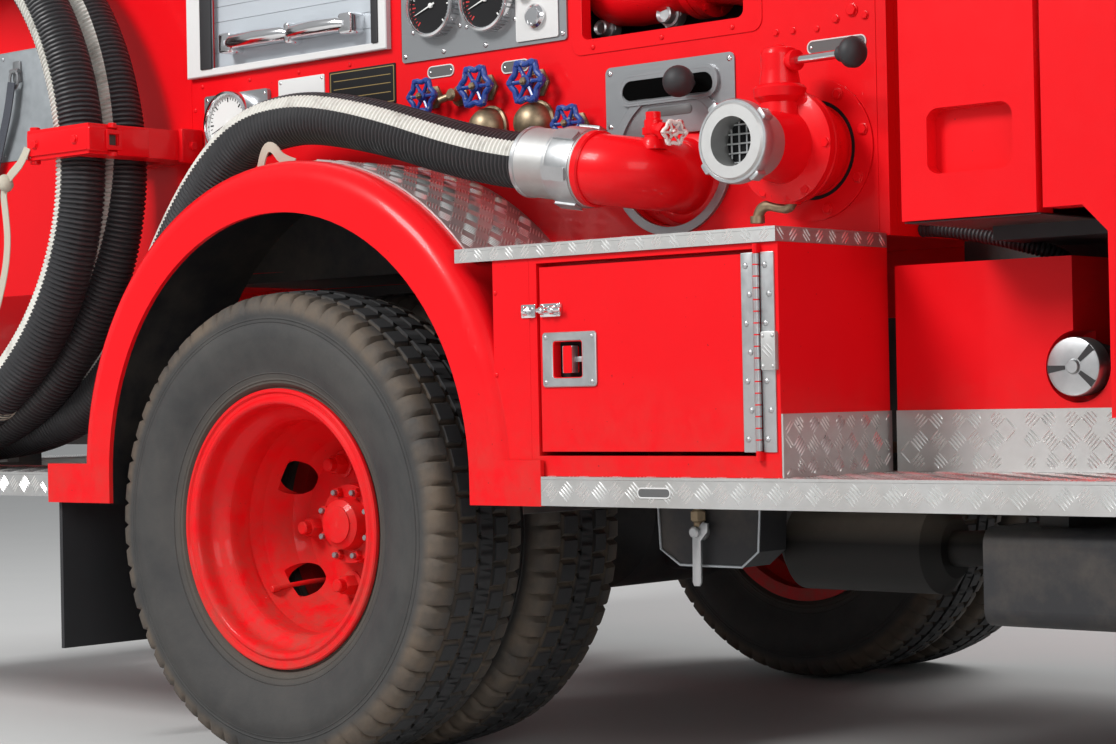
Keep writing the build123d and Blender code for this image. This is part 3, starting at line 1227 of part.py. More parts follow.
# Clamps that hold the coils against the body: a foot on the panel, and a bar round the outer turn
clamp_z = (1008, 1060)
clamp_foot_x = coil_centre_x + 600
clamp_bar_y = body_half_width + 246
with BuildPart() as hose_clamps:
    for side in sides.values():
        side_prism(side, body_half_width + seat_gap, body_half_width + 34,
                   rectangle(coil_centre_x + 430, clamp_foot_x, *clamp_z), corner=3)
        side_prism(side, lane_y(1.75) + hose_radius + 1.5, clamp_bar_y,
                   rectangle(coil_centre_x + 430, clamp_foot_x, *clamp_z), corner=3)
        side_prism(side, body_half_width + 30, clamp_bar_y,
                   rectangle(coil_centre_x + coil_reach + hose_radius + seat_gap, clamp_foot_x, *clamp_z))
save(hose_clamps, "hose_clamps")

# Hand wheels on the drain and priming valves
wheels = ((rear_axle_x + 145, 1066, 27), (rear_axle_x + 262, 1070, 30), (rear_axle_x + 370, 1067, 31),
          (rear_axle_x + 452, 995, 27))
with BuildPart() as hand_wheels:
    for side in sides.values():
        for x, z, r in wheels:
            face = body_half_width + seat_gap
            turn(outward_plane(x, side, z), [(face, 0), (face, 14), (face + 12, 9), (face + 30, 9), (face + 30, 0)])
            drum(side, x, z, face + 28, face + 40, r)
save(hand_wheels, "hand_wheels")

# Handrails along the top of the body, and the rack that carries the ladder over the hose bed
ladder_y = (120, 520)
ladder_z = body_top + 140
rack_half = body_half_width - 79
with BuildPart() as top_rails:
    for side in sides.values():
        y = side * (body_half_width - 12)
        pipe([(body_rear_x + 60, y, body_top + seat_gap), (body_rear_x + 60, y, body_top + 120),
              (body_front_x - 60, y, body_top + 120), (body_front_x - 60, y, body_top + seat_gap)], 15, 50)
        for x in (body_rear_x + 735, body_front_x - 936):
            rod((x, y, body_top + seat_gap), (x, y, body_top + 120), 12)
    for x in (body_rear_x + 330, body_front_x - 330):
        slab((x - 20, x + 20), (-rack_half, rack_half), (ladder_z - 40, ladder_z - seat_gap))
        for side in sides.values():
            slab((x - 20, x + 20), (side * (rack_half - 40), side * rack_half),
                 (deck_height + body_wall + seat_gap, ladder_z - 30))
save(top_rails, "top_rails")

# Ladder
with BuildPart() as ladder:
    for y in ladder_y:
        slab((body_rear_x + 20, body_front_x + 60), (y, y + 26), (ladder_z, ladder_z + 64))
    rungs = range(8)
    for index in rungs:
        x = body_rear_x + 180 + index * 320
        rod((x, ladder_y[0] + 10, ladder_z + 32), (x, ladder_y[1] + 10, ladder_z + 32), 15)
save(ladder, "ladder")

# Tail lamps on the rear wall
with BuildPart() as tail_lamps:
    for side in sides.values():
        side_prism(side, 560, 660, rectangle(body_rear_x - 40, body_rear_x - seat_gap, 830, 1060))
save(tail_lamps, "tail_lamps")
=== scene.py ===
import json
from math import atan2, ceil, cos, exp, pi, radians, sin, sqrt, tan

import bmesh
import bpy
from mathutils import Matrix, Vector


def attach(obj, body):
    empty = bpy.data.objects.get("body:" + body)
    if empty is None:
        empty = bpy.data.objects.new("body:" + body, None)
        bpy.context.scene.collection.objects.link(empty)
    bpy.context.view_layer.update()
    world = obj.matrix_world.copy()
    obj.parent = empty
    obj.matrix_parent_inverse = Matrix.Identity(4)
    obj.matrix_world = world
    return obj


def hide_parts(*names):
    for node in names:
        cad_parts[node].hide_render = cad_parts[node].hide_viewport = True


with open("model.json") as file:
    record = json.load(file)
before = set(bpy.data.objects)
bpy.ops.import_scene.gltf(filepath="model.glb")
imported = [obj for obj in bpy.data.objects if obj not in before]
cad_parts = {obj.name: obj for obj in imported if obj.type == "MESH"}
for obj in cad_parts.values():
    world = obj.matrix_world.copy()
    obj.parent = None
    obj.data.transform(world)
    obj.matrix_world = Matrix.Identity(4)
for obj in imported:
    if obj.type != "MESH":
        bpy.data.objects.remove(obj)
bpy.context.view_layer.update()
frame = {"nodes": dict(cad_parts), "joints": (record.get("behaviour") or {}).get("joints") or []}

scene = bpy.context.scene
node = frame["nodes"]
joint = {entry["name"]: Vector(entry["pos_m"]) for entry in frame["joints"] if "pos_m" in entry}

# Camera: at the height of the locker, in front of the pump panel, looking back at the rear wheel with
# a long lens. Its right and up directions come from the horizontal edges of the steps.
eye = Vector((1.785, -3.494, 0.578))
look = Vector((-0.65834, 0.75265, 0.010518))
right = Vector((0.752408, 0.658409, -0.019658))
lens_mm = 78.12
sensor_mm = 36.0

camera = bpy.data.objects.new("camera", bpy.data.cameras.new("camera"))
camera.data.lens = lens_mm
camera.data.sensor_width = sensor_mm
camera.data.sensor_fit = "HORIZONTAL"
camera.data.clip_end = 200.0
facing = Matrix((right, right.cross(look), -look)).transposed().to_4x4()
camera.matrix_world = Matrix.Translation(eye) @ facing
scene.collection.objects.link(camera)
scene.camera = camera


# Looks, first used by the floor. A Finish is one look and the slot it stands for; a Value is a quantity
# that varies over a surface, such as dust or wear, and can be added, multiplied and spread over a range.
class Value:
    def __init__(self, finish, socket):
        self.finish = finish
        self.socket = socket

    def maths(self, operation, *terms):
        return self.finish.node("ShaderNodeMath", {"operation": operation}, dict(enumerate(terms)))

    def __add__(self, other):
        return self.maths("ADD", self, other)

    def __radd__(self, other):
        return self.maths("ADD", other, self)

    def __sub__(self, other):
        return self.maths("SUBTRACT", self, other)

    def __rsub__(self, other):
        return self.maths("SUBTRACT", other, self)

    def __mul__(self, other):
        return self.maths("MULTIPLY", self, other)

    def __rmul__(self, other):
        return self.maths("MULTIPLY", other, self)

    def __pow__(self, other):
        return self.maths("POWER", self, other)

    def ranged(self, low, high, to_low=0.0, to_high=1.0):
        values = {"Value": self, "From Min": low, "From Max": high, "To Min": to_low, "To Max": to_high}
        return self.finish.node("ShaderNodeMapRange", {}, values)


class Finish:
    def __init__(self, name, colour, rough, metal=0.0, slot=None, **constants):
        self.slot = slot or name
        self.material = bpy.data.materials.new(name)
        self.material.use_nodes = True
        self.tree = self.material.node_tree
        self.surface = self.tree.nodes["Principled BSDF"]
        self.set("Base Color", (*colour, 1.0))
        self.set("Roughness", rough)
        self.set("Metallic", metal)
        for socket, value in constants.items():
            self.set(socket.replace("_", " ").title().replace("Ior", "IOR"), value)

    def put(self, socket, value):
        if isinstance(value, Value):
            self.tree.links.new(value.socket, socket)
        else:
            socket.default_value = value

    def set(self, socket, value):
        self.put(self.surface.inputs[socket], value)

    def node(self, kind, settings, values, output=0):
        made = self.tree.nodes.new(kind)
        for key, value in settings.items():
            if key == "stops":
                ramp = made.color_ramp.elements
                while len(ramp) < len(value):
                    ramp.new(0.5)
                for stop, (place, colour) in zip(ramp, value):
                    stop.position = place
                    stop.color = (*colour, 1.0)
            else:
                setattr(made, key, value)
        for key, value in values.items():
            self.put(made.inputs[key], value)
        return Value(self, made.outputs[output])

    def place(self, stretch=(1.0, 1.0, 1.0)):
        spot = self.node("ShaderNodeTexCoord", {}, {}, "Object")
        if stretch == (1.0, 1.0, 1.0):
            return spot
        return self.node("ShaderNodeVectorMath", {"operation": "MULTIPLY"}, {0: spot, 1: stretch})

    def axis(self, letter):
        return self.node("ShaderNodeSeparateXYZ", {}, {0: self.place()}, letter)

    def cloud(self, scale, detail=4.0, rough=0.55, stretch=(1.0, 1.0, 1.0)):
        values = {"Vector": self.place(stretch), "Scale": scale, "Detail": detail, "Roughness": rough}
        return self.node("ShaderNodeTexNoise", {}, values)

    def mix(self, share, first, second):
        colours = [c if isinstance(c, Value) else (*c, 1.0) for c in (first, second)]
        return self.node("ShaderNodeMix", {"data_type": "RGBA"}, {0: share, 6: colours[0], 7: colours[1]}, 2)

    def bump(self, height, depth, strength=1.0):
        values = {"Height": height, "Distance": depth, "Strength": strength}
        self.set("Normal", self.node("ShaderNodeBump", {}, values))


# Studio: a pale floor that runs to the horizon, a pale surround and three large soft lamps. The vehicle itself
# gets a plain level of light.
floor_size = 60.0
floor_finish = Finish("studio_floor", (0.62, 0.62, 0.61), 0.8)
floor_finish.set("Base Color",
    floor_finish.mix(floor_finish.cloud(3.0), (0.6, 0.6, 0.59), (0.64, 0.64, 0.63)))
floor_mesh = bpy.data.meshes.new("studio_floor")
edge = floor_size / 2
floor_corners = [(-edge, -edge, 0), (edge, -edge, 0), (edge, edge, 0), (-edge, edge, 0)]
floor_mesh.from_pydata(floor_corners, [], [(0, 1, 2, 3)])
floor_mesh.materials.append(floor_finish.material)
floor = bpy.data.objects.new("studio_floor", floor_mesh)
scene.collection.objects.link(floor)

world = bpy.data.worlds.new("studio")
world.use_nodes = True
background = world.node_tree.nodes["Background"]
background.inputs["Color"].default_value = (0.86, 0.88, 0.9, 1.0)
background.inputs["Strength"].default_value = 0.46
scene.world = world

lamps = (
    # name, place, aimed at, width, height, watts
    ("key", (-2.4, -5.8, 4.8), (-0.5, -0.7, 0.6), 2.0, 2.0, 405.0),
    ("fill", (4.8, -4.2, 2.8), (-0.4, -0.7, 0.7), 3.5, 2.5, 110.0),
    ("rim", (0.5, 5.5, 4.6), (0.0, 0.5, 0.8), 4.0, 3.0, 220.0),
)
for name, place, aim, width, height, watts in lamps:
    light = bpy.data.lights.new(name, "AREA")
    light.shape = "RECTANGLE"
    light.size = width
    light.size_y = height
    light.energy = watts
    lamp = bpy.data.objects.new(name, light)
    lamp.location = place
    lamp.rotation_euler = (Vector(aim) - Vector(place)).to_track_quat("-Z", "Y").to_euler()
    scene.collection.objects.link(lamp)
scene.view_settings.view_transform = "Standard"


# Shapes, first used by the tyres. A Form gathers closed solids as rings of points; on_side gives a place on
# the right-hand flank, with x forward, y up and z outwards, and mirror adds the left-hand twin.
def mm(*points):
    # points given in millimetres, in the metres that everything else is in
    return [tuple(value / 1000 for value in point) for point in points]


def towards(origin, out, up=(0, 0, 1)):
    out = Vector(out).normalized()
    across = Vector(up).cross(out)
    across = across.normalized() if across.length > 1e-6 else Vector((1, 0, 0))
    turn = Matrix((across, out.cross(across), out)).transposed().to_4x4()
    return Matrix.Translation(Vector(origin)) @ turn


panel_y = 0.679


def on_side(x, z, out=panel_y):
    return towards((x, -out, z), (0, -1, 0))


def polar(radius, angle):
    return radius * cos(angle), radius * sin(angle)


def on_circle(x, z, radius, turn, out=panel_y):
    # a place on the flank at this turn, in degrees, of a circle round x, z
    across, up = polar(radius, radians(turn))
    return on_side(x + across, z + up, out)


def inset(outline, amount):
    result = []
    for before, point, after in zip(outline[-1:] + outline[:-1], outline, outline[1:] + outline[:1]):
        first = (Vector(point) - Vector(before)).normalized()
        second = (Vector(after) - Vector(point)).normalized()
        normal = Vector((-first.y - second.y, first.x + second.x))
        scale = max(0.35, 1 + first.dot(second))
        result.append(Vector(point) + normal * (amount / scale))
    return result


def rounded(x0, x1, y0, y1, radius, steps=5):
    corners = ((x1 - radius, y0 + radius, -90), (x1 - radius, y1 - radius, 0), (x0 + radius, y1 - radius, 90),
        (x0 + radius, y0 + radius, 180))
    return [Vector((x + radius * cos(radians(start + 90 * i / steps)),
        y + radius * sin(radians(start + 90 * i / steps))))
        for x, y, start in corners for i in range(steps + 1)]


def circle(radius, steps=32, x=0.0, y=0.0):
    return [Vector((x + radius * cos(2 * pi * i / steps), y + radius * sin(2 * pi * i / steps)))
        for i in range(steps)]


class Form:
    def __init__(self):
        self.points = []
        self.faces = []

    def skin(self, rings, capped=True, looped=False):
        start = len(self.points)
        count = len(rings[0])
        for ring in rings:
            self.points.extend(ring)
        for r in range(len(rings) if looped else len(rings) - 1):
            a = start + r * count
            b = start + (r + 1) % len(rings) * count
            for i in range(count):
                j = (i + 1) % count
                self.faces.append((a + i, a + j, b + j, b + i))
        if capped and not looped:
            self.faces.append(tuple(range(start + count - 1, start - 1, -1)))
            last = start + (len(rings) - 1) * count
            self.faces.append(tuple(range(last, last + count)))
        return self

    def lathe(self, place, profile, steps=32, looped=False):
        # profile holds (distance along the place's z, radius)
        rings = [[place @ Vector((p.x, p.y, along)) for p in circle(max(radius, 1e-7), steps)]
            for along, radius in profile]
        return self.skin(rings, looped=looped)

    def plate(self, place, outline, low, high, chamfer=0.0):
        heights = [(low, 0.0), (high, 0.0)]
        if chamfer:
            heights = [(low, 0.0), (high - chamfer, 0.0), (high - 0.3 * chamfer, 0.3 * chamfer),
                (high, chamfer)]
        return self.skin([[place @ Vector((p.x, p.y, h)) for p in inset(outline, c)] for h, c in heights])

    def frame(self, place, outer, inner, low, high, chamfer=0.0):
        # a flat ring between two outlines with the same number of points
        bevel = [(low, 0.0), (high - chamfer, 0.0), (high, chamfer)]
        section = [(outer, h, c) for h, c in bevel] + [(inner, h, -c) for h, c in bevel[::-1]]
        rings = [[place @ Vector((p.x, p.y, h)) for p in inset(line, c)] for line, h, c in section]
        return self.skin(rings, looped=True)

    def rod(self, start, end, radius, steps=20, chamfer=0.0):
        length = (Vector(end) - Vector(start)).length
        profile = [(0, radius - chamfer), (chamfer, radius), (length - chamfer, radius),
            (length, radius - chamfer)]
        return self.lathe(towards(start, Vector(end) - Vector(start), (0.3, 0.2, 1)), profile, steps)

    def sweep(self, points, radii, steps=16, looped=False):
        points = [Vector(p) for p in points]
        if not isinstance(radii, (list, tuple)):
            radii = [radii] * len(points)
        rings = []
        side = None
        for i, point in enumerate(points):
            before = points[i - 1] if looped or i else point
            after = points[(i + 1) % len(points)] if looped or i < len(points) - 1 else point
            along = (after - before).normalized()
            if side is None:
                side = along.orthogonal().normalized()
            side = (side - along * side.dot(along)).normalized()
            up = along.cross(side)
            rings.append([point + (side * p.x + up * p.y) for p in circle(radii[i], steps)])
        return self.skin(rings, looped=looped)

    def bolt(self, place, size, head=None, sides=6, washer=True):
        # a hexagon head on its washer, standing on the place's z = 0
        head = head or size * 0.62
        if washer:
            self.lathe(place, [(0, size * 1.15), (size * 0.16, size * 1.15), (size * 0.2, size * 1.08)], 16)
        profile = [(0, size), (head * 0.8, size), (head, size * 0.84)]
        return self.lathe(place, profile, sides)

    def rivet(self, place, radius, steps=12):
        height = radius * 0.55
        arc = [(height * sin(radians(a)), radius * cos(radians(a))) for a in (0, 25, 50, 72, 90)]
        return self.lathe(place, arc, steps)

    def rivets(self, points, out, radius):
        # points on the flank, as distances forward of the rear axle and up
        for x, z in points:
            self.rivet(on_side(rear_x + x, z, out), radius)
        return self

    def join(self, other, matrix=Matrix.Identity(4)):
        start = len(self.points)
        self.points.extend(matrix @ Vector(p) for p in other.points)
        flip = matrix.determinant() < 0
        for face in other.faces:
            face = tuple(start + i for i in face)
            self.faces.append(face[::-1] if flip else face)
        return self

    def mirror(self):
        other = Form()
        other.points = list(self.points)
        other.faces = list(self.faces)
        return self.join(other, Matrix.Diagonal((1, -1, 1, 1)))

    def make(self, name, finish, body="vehicle", sharp=35.0, replaces=()):
        mesh = bpy.data.meshes.new(name)
        work = bmesh.new()
        corners = [work.verts.new(p) for p in self.points]
        for face in self.faces:
            work.faces.new([corners[i] for i in face])
        bmesh.ops.remove_doubles(work, verts=work.verts, dist=2e-6)
        bmesh.ops.dissolve_degenerate(work, edges=work.edges, dist=1e-6)
        bmesh.ops.recalc_face_normals(work, faces=work.faces)
        work.to_mesh(mesh)
        work.free()
        mesh.materials.append(finish.material)
        mesh.shade_smooth()
        mesh.set_sharp_from_angle(angle=radians(sharp))
        piece = bpy.data.objects.new(name, mesh)
        scene.collection.objects.link(piece)
        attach(piece, body)
        if replaces:
            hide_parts(*replaces)
        return piece

    def pair(self, name, finish, body="vehicle", replaces=()):
        # a piece of its own on each side; the braces in its body's name take the side
        for side, matrix in (("right", Matrix.Identity(4)), ("left", Matrix.Diagonal((1, -1, 1, 1)))):
            replaced = replaces if side == "right" else ()
            Form().join(self, matrix).make(f"{name}_{side}", finish, body.format(side), replaces=replaced)


def dress(finish, *names):
    for name in names:
        surface = node[name].data.materials
        surface.clear()
        surface.append(finish.material)


# Tyres: winter tyres with four rows of grooves, blocks cut across at sixty-two places round the tread, and
# dusty sidewalls with a rim guard and moulded rings. The outer rows of blocks run over the shoulder.
rear_axle = joint["wheels_rear_right"]
front_axle = joint["wheel_front_right"]
rear_x = rear_axle.x
rubber_dust = Finish("tyre_rubber", (0.05, 0.047, 0.043), 0.8)
radial = rubber_dust.cloud(9.0, 6.0, 0.65)
speck = rubber_dust.cloud(160.0, 3.0)
along_x = rubber_dust.axis("X")
from_rear = along_x - rear_axle.x
from_front = along_x - front_axle.x
sideways = from_rear.maths("MINIMUM", from_rear.maths("ABSOLUTE", from_rear),
    from_rear.maths("ABSOLUTE", from_front))
upward = rubber_dust.axis("Z") - rear_axle.z
reach = (sideways * sideways + upward * upward) ** 0.5
sidewall = rubber_dust.mix(radial.ranged(0.32, 0.72), (0.028, 0.028, 0.028), (0.06, 0.057, 0.053))
dried_mud = reach.ranged(0.338, 0.35) * radial.ranged(0.3, 0.62) * 0.8 + reach.ranged(0.25, 0.222) * 0.45
muddy = rubber_dust.mix(dried_mud, sidewall, (0.13, 0.096, 0.066))


def moulded_line(radius, half):
    return reach.ranged(radius - half, radius) * reach.ranged(radius + half, radius)


moulded_lines = (moulded_line(0.236, 0.002) + moulded_line(0.2465, 0.0012) + moulded_line(0.333, 0.0018)
    + moulded_line(0.327, 0.001))
rubber_dust.set("Base Color", rubber_dust.mix(reach.ranged(0.3715, 0.3755), muddy, (0.026, 0.026, 0.027)))
rubber_dust.set("Roughness", 0.62 + 0.3 * radial)
rubber_dust.bump(speck * 0.25 + moulded_lines, 0.0016, 0.9)

tread_pitches = 62
steps_in_pitch = 6
groove_depth = 0.009
tread_line = (
    # distance from the middle of the tread, radius, the slot's share of the groove depth, phase of the slot
    (-0.07, 0.2034, 0, 0), (-0.0702, 0.224, 0, 0), (-0.079, 0.231, 0, 0), (-0.08, 0.237, 0, 0),
    (-0.0895, 0.262, 0, 0), (-0.0905, 0.264, 0, 0), (-0.096, 0.282, 0, 0), (-0.1012, 0.302, 0, 0),
    (-0.1018, 0.32, 0, 0), (-0.1012, 0.321, 0, 0), (-0.0985, 0.338, 0, 0), (-0.099, 0.3395, 0, 0),
    (-0.0962, 0.353, 1, 0), (-0.09, 0.366, 1, 0), (-0.08, 0.3715, 1, 0), (-0.059, 0.3745, 1, 0),
    (-0.058, 0.366, 0, 0), (-0.051, 0.366, 0, 0), (-0.05, 0.3757, 1, 3), (-0.022, 0.378, 1, 3),
    (-0.021, 0.369, 0, 0), (-0.014, 0.369, 0, 0), (-0.013, 0.3786, 1, 1), (0.013, 0.3786, 1, 1),
)
tread_line = tread_line + tuple((-y, r, cut, 5 - phase) for y, r, cut, phase in tread_line[::-1])


def tyre(x, y):
    rings = []
    for step in range(tread_pitches * steps_in_pitch):
        angle = 2 * pi * step / (tread_pitches * steps_in_pitch)
        ring = []
        for across, radius, cut, phase in tread_line:
            slot_here = cut and (step + phase) % steps_in_pitch == 0
            height = radius - (groove_depth if slot_here else 0)
            ring.append(Vector((x + height * cos(angle), y + across, front_axle.z + height * sin(angle))))
        rings.append(ring)
    return Form().skin(rings, looped=True)


twin_half = 0.116
wheel_bodies = (
    # node's ending, body and joint, distances of its tyres from the joint
    ("front_right", "wheel_front_right", (0.0,)), ("front_left", "wheel_front_left", (0.0,)),
    ("rear_right", "wheels_rear_right", (-twin_half, twin_half)),
    ("rear_left", "wheels_rear_left", (-twin_half, twin_half)),
)
for ending, body, spacings in wheel_bodies:
    rubber = Form()
    for spacing in spacings:
        rubber.join(tyre(joint[body].x, joint[body].y + spacing))
    stem = "tyre" if len(spacings) == 1 else "tyres"
    rubber.make(f"{stem}_{ending}_tread", rubber_dust, body, 40.0, (f"{stem}_{ending}",))

# Paint: red gloss over steel and aluminium, a little orange peel, chalked and dusty low down, with fine
# chips through to a dark primer. The wheels carry the same red.
red = Finish("body_red", (0.78, 0.008, 0.012), 0.32,
    coat_weight=0.16, coat_roughness=0.08, specular_ior_level=0.14)
tone = red.cloud(2.2, 5.0)
film = red.cloud(26.0, 7.0, 0.7)
chips = red.cloud(190.0, 2.0).ranged(0.755, 0.77)
low_down = red.axis("Z").ranged(0.62, 0.25)
clean = red.mix(tone, (0.7, 0.003, 0.007), (0.82, 0.006, 0.011))
dusty = red.mix(low_down * film.ranged(0.35, 0.8) * 0.75, clean, (0.24, 0.085, 0.06))
red.set("Base Color", red.mix(chips * 0.55, dusty, (0.1, 0.02, 0.018)))
red.set("Roughness", 0.24 + 0.22 * film + 0.3 * low_down)
red.bump(red.cloud(420.0, 2.0), 0.00005, 0.5)
dress(red, "cab_roof", "cab_rear", "cab_front", "cab_sides", "door_front_right", "door_front_left",
    "door_rear_right", "door_rear_left", "body_sides", "body_core", "fenders", "lockers", "locker_door_right",
    "locker_door_left", "suction_elbows", "relay_inlets", "hose_clamps", "rims_rear_right", "rims_rear_left",
    "rim_front_right", "rim_front_left", "pump")

# Chassis paint: black under a film of road dust, thicker and browner where more of it settles, with rust
# blooming on the springs, the exhaust and the castings.
black = Finish("chassis_black", (0.022, 0.022, 0.024), 0.55)
grime_and_painted_shade = black.cloud(7.0, 8.0, 0.68)
black.set("Base Color", black.mix(grime_and_painted_shade.ranged(0.42, 0.75), (0.016, 0.016, 0.018), (0.075, 0.062, 0.05)))
black.set("Roughness", 0.42 + 0.4 * grime_and_painted_shade)
black.bump(black.cloud(110.0, 4.0), 0.0003, 0.5)
dress(black, "chassis_frame", "front_axle", "rear_axle", "knuckle_right", "knuckle_left", "track_rod",
    "side_boxes")

rust = Finish("rusty_steel", (0.16, 0.075, 0.04), 0.75, 0.25)
bloom = rust.cloud(24.0, 8.0, 0.7)
rust.set("Base Color", rust.mix(bloom, (0.05, 0.035, 0.028), (0.27, 0.115, 0.05)))
rust.bump(bloom, 0.0008, 0.6)
dress(rust, "leaf_springs")
exhaust_grey = Finish("exhaust_steel", (0.25, 0.22, 0.18), 0.6, 0.5)
scale = exhaust_grey.cloud(16.0, 7.0, 0.7)
warm = exhaust_grey.mix(scale, (0.1, 0.085, 0.07), (0.22, 0.185, 0.15))
# the exhaust is painted darker towards its bottom, down to near black: painted shade on its underside
grime_and_painted_shade = exhaust_grey.axis("Z").ranged(0.402, 0.372)
exhaust_grey.set("Base Color", exhaust_grey.mix(grime_and_painted_shade, warm, (0.01, 0.009, 0.008)))
exhaust_grey.bump(scale, 0.0004, 0.5)
dress(exhaust_grey, "exhaust")

casting = Finish("engine_grey", (0.15, 0.15, 0.155), 0.6, 0.4)
oil = casting.cloud(11.0, 7.0, 0.66)
casting.set("Base Color", casting.mix(oil, (0.05, 0.045, 0.04), (0.22, 0.22, 0.22)))
casting.bump(casting.cloud(240.0, 3.0), 0.0004, 0.6)
dress(casting, "drivetrain")

# Tread plate: rolled aluminium with a five-bar pattern, worn bright on the bars and dull between them. The
# couplings, the ladder and the top rails are the same metal.
tread_metal = Finish("tread_plate", (0.62, 0.62, 0.6), 0.36, 0.95)
scuff = tread_metal.cloud(60.0, 6.0, 0.7, (1.0, 6.0, 1.0))
stain = tread_metal.cloud(5.0, 6.0, 0.6)
dulled = stain.ranged(0.45, 0.8) * 0.6
tread_metal.set("Base Color", tread_metal.mix(dulled, (0.56, 0.56, 0.55), (0.3, 0.28, 0.25)))
tread_metal.set("Roughness", 0.36 + 0.24 * scuff + 0.1 * stain)
tread_metal.bump(scuff, 0.00008, 0.5)
dress(tread_metal, "tread_plates", "couplings", "ladder", "top_rails")

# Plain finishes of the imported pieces: grained plastic, shutter grey, brushed steel, white paint and the blue
# of the hand wheels, each a little uneven in its gloss.
plastic = Finish("black_plastic", (0.022, 0.022, 0.024), 0.6)
plastic.bump(plastic.cloud(700.0, 2.0), 0.0001, 0.5)
dress(plastic, "mudguards", "cab_floor", "grille", "dashboard", "mirrors")

grey_paint = Finish("shutter_grey", (0.47, 0.49, 0.51), 0.35, coat_weight=0.3)
grey_paint.set("Roughness", 0.28 + 0.2 * grey_paint.cloud(14.0, 5.0))
dress(grey_paint, "roller_shutters")

steel = Finish("brushed_steel", (0.33, 0.34, 0.35), 0.42, 0.7, "coupling_aluminium")
brushing = steel.cloud(30.0, 5.0, 0.6, (1.0, 1.0, 40.0))
steel.set("Roughness", 0.26 + 0.2 * brushing)
steel.bump(brushing, 0.00006, 0.5)
dress(steel, "gauge_panels")

white = Finish("white_paint", (0.78, 0.78, 0.76), 0.35, coat_weight=0.4)
white.set("Roughness", 0.28 + 0.2 * white.cloud(9.0, 5.0))
dress(white, "front_bumper")

blue = Finish("wheel_blue", (0.012, 0.05, 0.26), 0.35, coat_weight=0.4)
worn = blue.cloud(130.0, 4.0).ranged(0.62, 0.7)
blue.set("Base Color", blue.mix(worn, (0.01, 0.045, 0.25), (0.3, 0.3, 0.32)))
dress(blue, "hand_wheels")

# Glass, lamp lenses, seat cloth and hose rubber: clear glass with a green cast, hard shiny lenses, a woven
# cloth of two blues, and matt rubber.
clear = Finish("window_glass", (0.62, 0.68, 0.68), 0.04, transmission_weight=0.92, ior=1.45)
dress(clear, "cab_glass", "glass_front_right", "glass_front_left", "glass_rear_right", "glass_rear_left")

lens_clear = Finish("lamp_glass", (0.85, 0.86, 0.86), 0.12, coat_weight=1.0)
dress(lens_clear, "headlamps")
lens_red = Finish("lamp_red", (0.55, 0.008, 0.01), 0.14, coat_weight=1.0)
dress(lens_red, "light_bar", "tail_lamps")

cloth = Finish("seat_fabric", (0.06, 0.065, 0.08), 0.9)
weave = cloth.node("ShaderNodeTexChecker", {}, {"Vector": cloth.place(), "Scale": 900.0}, "Fac")
cloth.set("Base Color", cloth.mix(weave, (0.045, 0.05, 0.065), (0.085, 0.09, 0.105)))
cloth.bump(weave, 0.0003, 0.5)
dress(cloth, "seats")

hose_black = Finish("hose_rubber", (0.024, 0.024, 0.026), 0.42)
hose_black.set("Roughness", 0.34 + 0.25 * hose_black.cloud(40.0, 5.0))
dress(hose_black, "suction_hoses")

# Suction hoses: black corrugated rubber with a moulded white stripe, 86 mm over the ribs. Each runs from its
# coupling over the wheel arch and down behind it, and lies against the body in a little over two turns, which
# the clamp holds.
step_y = 0.945
hose_radius = 0.043
rib_pitch = 0.0081
rib_depth = 0.0034
coil_middle = Vector((rear_x - 1.035, 0, 0.98))
coil_reach = 0.505
coil_rise = 0.515
coil_drop = 0.467
coil_turns = 2.2
steps_in_turn = 16
hose_start = Vector((rear_x + 0.46, 0, 0))
hose_lead = (
    # forward of the hose's start, outwards, up
    (0.0, 0.8, 0.93), (-0.064, 0.8, 0.94), (-0.168, 0.8, 0.966), (-0.276, 0.8, 0.999),
    (-0.387, 0.8, 1.026), (-0.5, 0.8, 1.043), (-0.62, 0.799, 1.03), (-0.725, 0.792, 0.968),
    (-0.83, 0.778, 0.872), (-0.945, 0.755, 0.745), (-1.07, 0.736, 0.628), (-1.22, 0.727, 0.548),
)
lanes = ((0.0, 0.724), (0.75, 0.768), (1.0, 0.812), (1.75, 0.86), (2.0, 0.899), (3.0, 0.899))


def read_off(table, place):
    # a value read from a table of places and values, on a straight line between its rows
    for (p0, v0), (p1, v1) in zip(table, table[1:]):
        if place <= p1:
            return v0 + (v1 - v0) * (place - p0) / (p1 - p0)


def on_flank(points):
    # points as distances forward of the rear axle, to the left, and up
    return [Vector((rear_x + x, y, z)) for x, y, z in points]


def hose_route():
    route = [Vector((hose_start.x + x, -y, z)) for x, y, z in hose_lead]
    route.append(Vector((coil_middle.x, -lanes[0][1], coil_middle.z - coil_drop)))
    for index in range(1, int(coil_turns * steps_in_turn) + 1):
        turns = index / steps_in_turn
        angle = -pi / 2 - 2 * pi * turns
        rise = coil_rise if sin(angle) > 0 else coil_drop
        route.append(Vector((coil_middle.x + coil_reach * cos(angle), -read_off(lanes, turns),
            coil_middle.z + rise * sin(angle))))
    return route


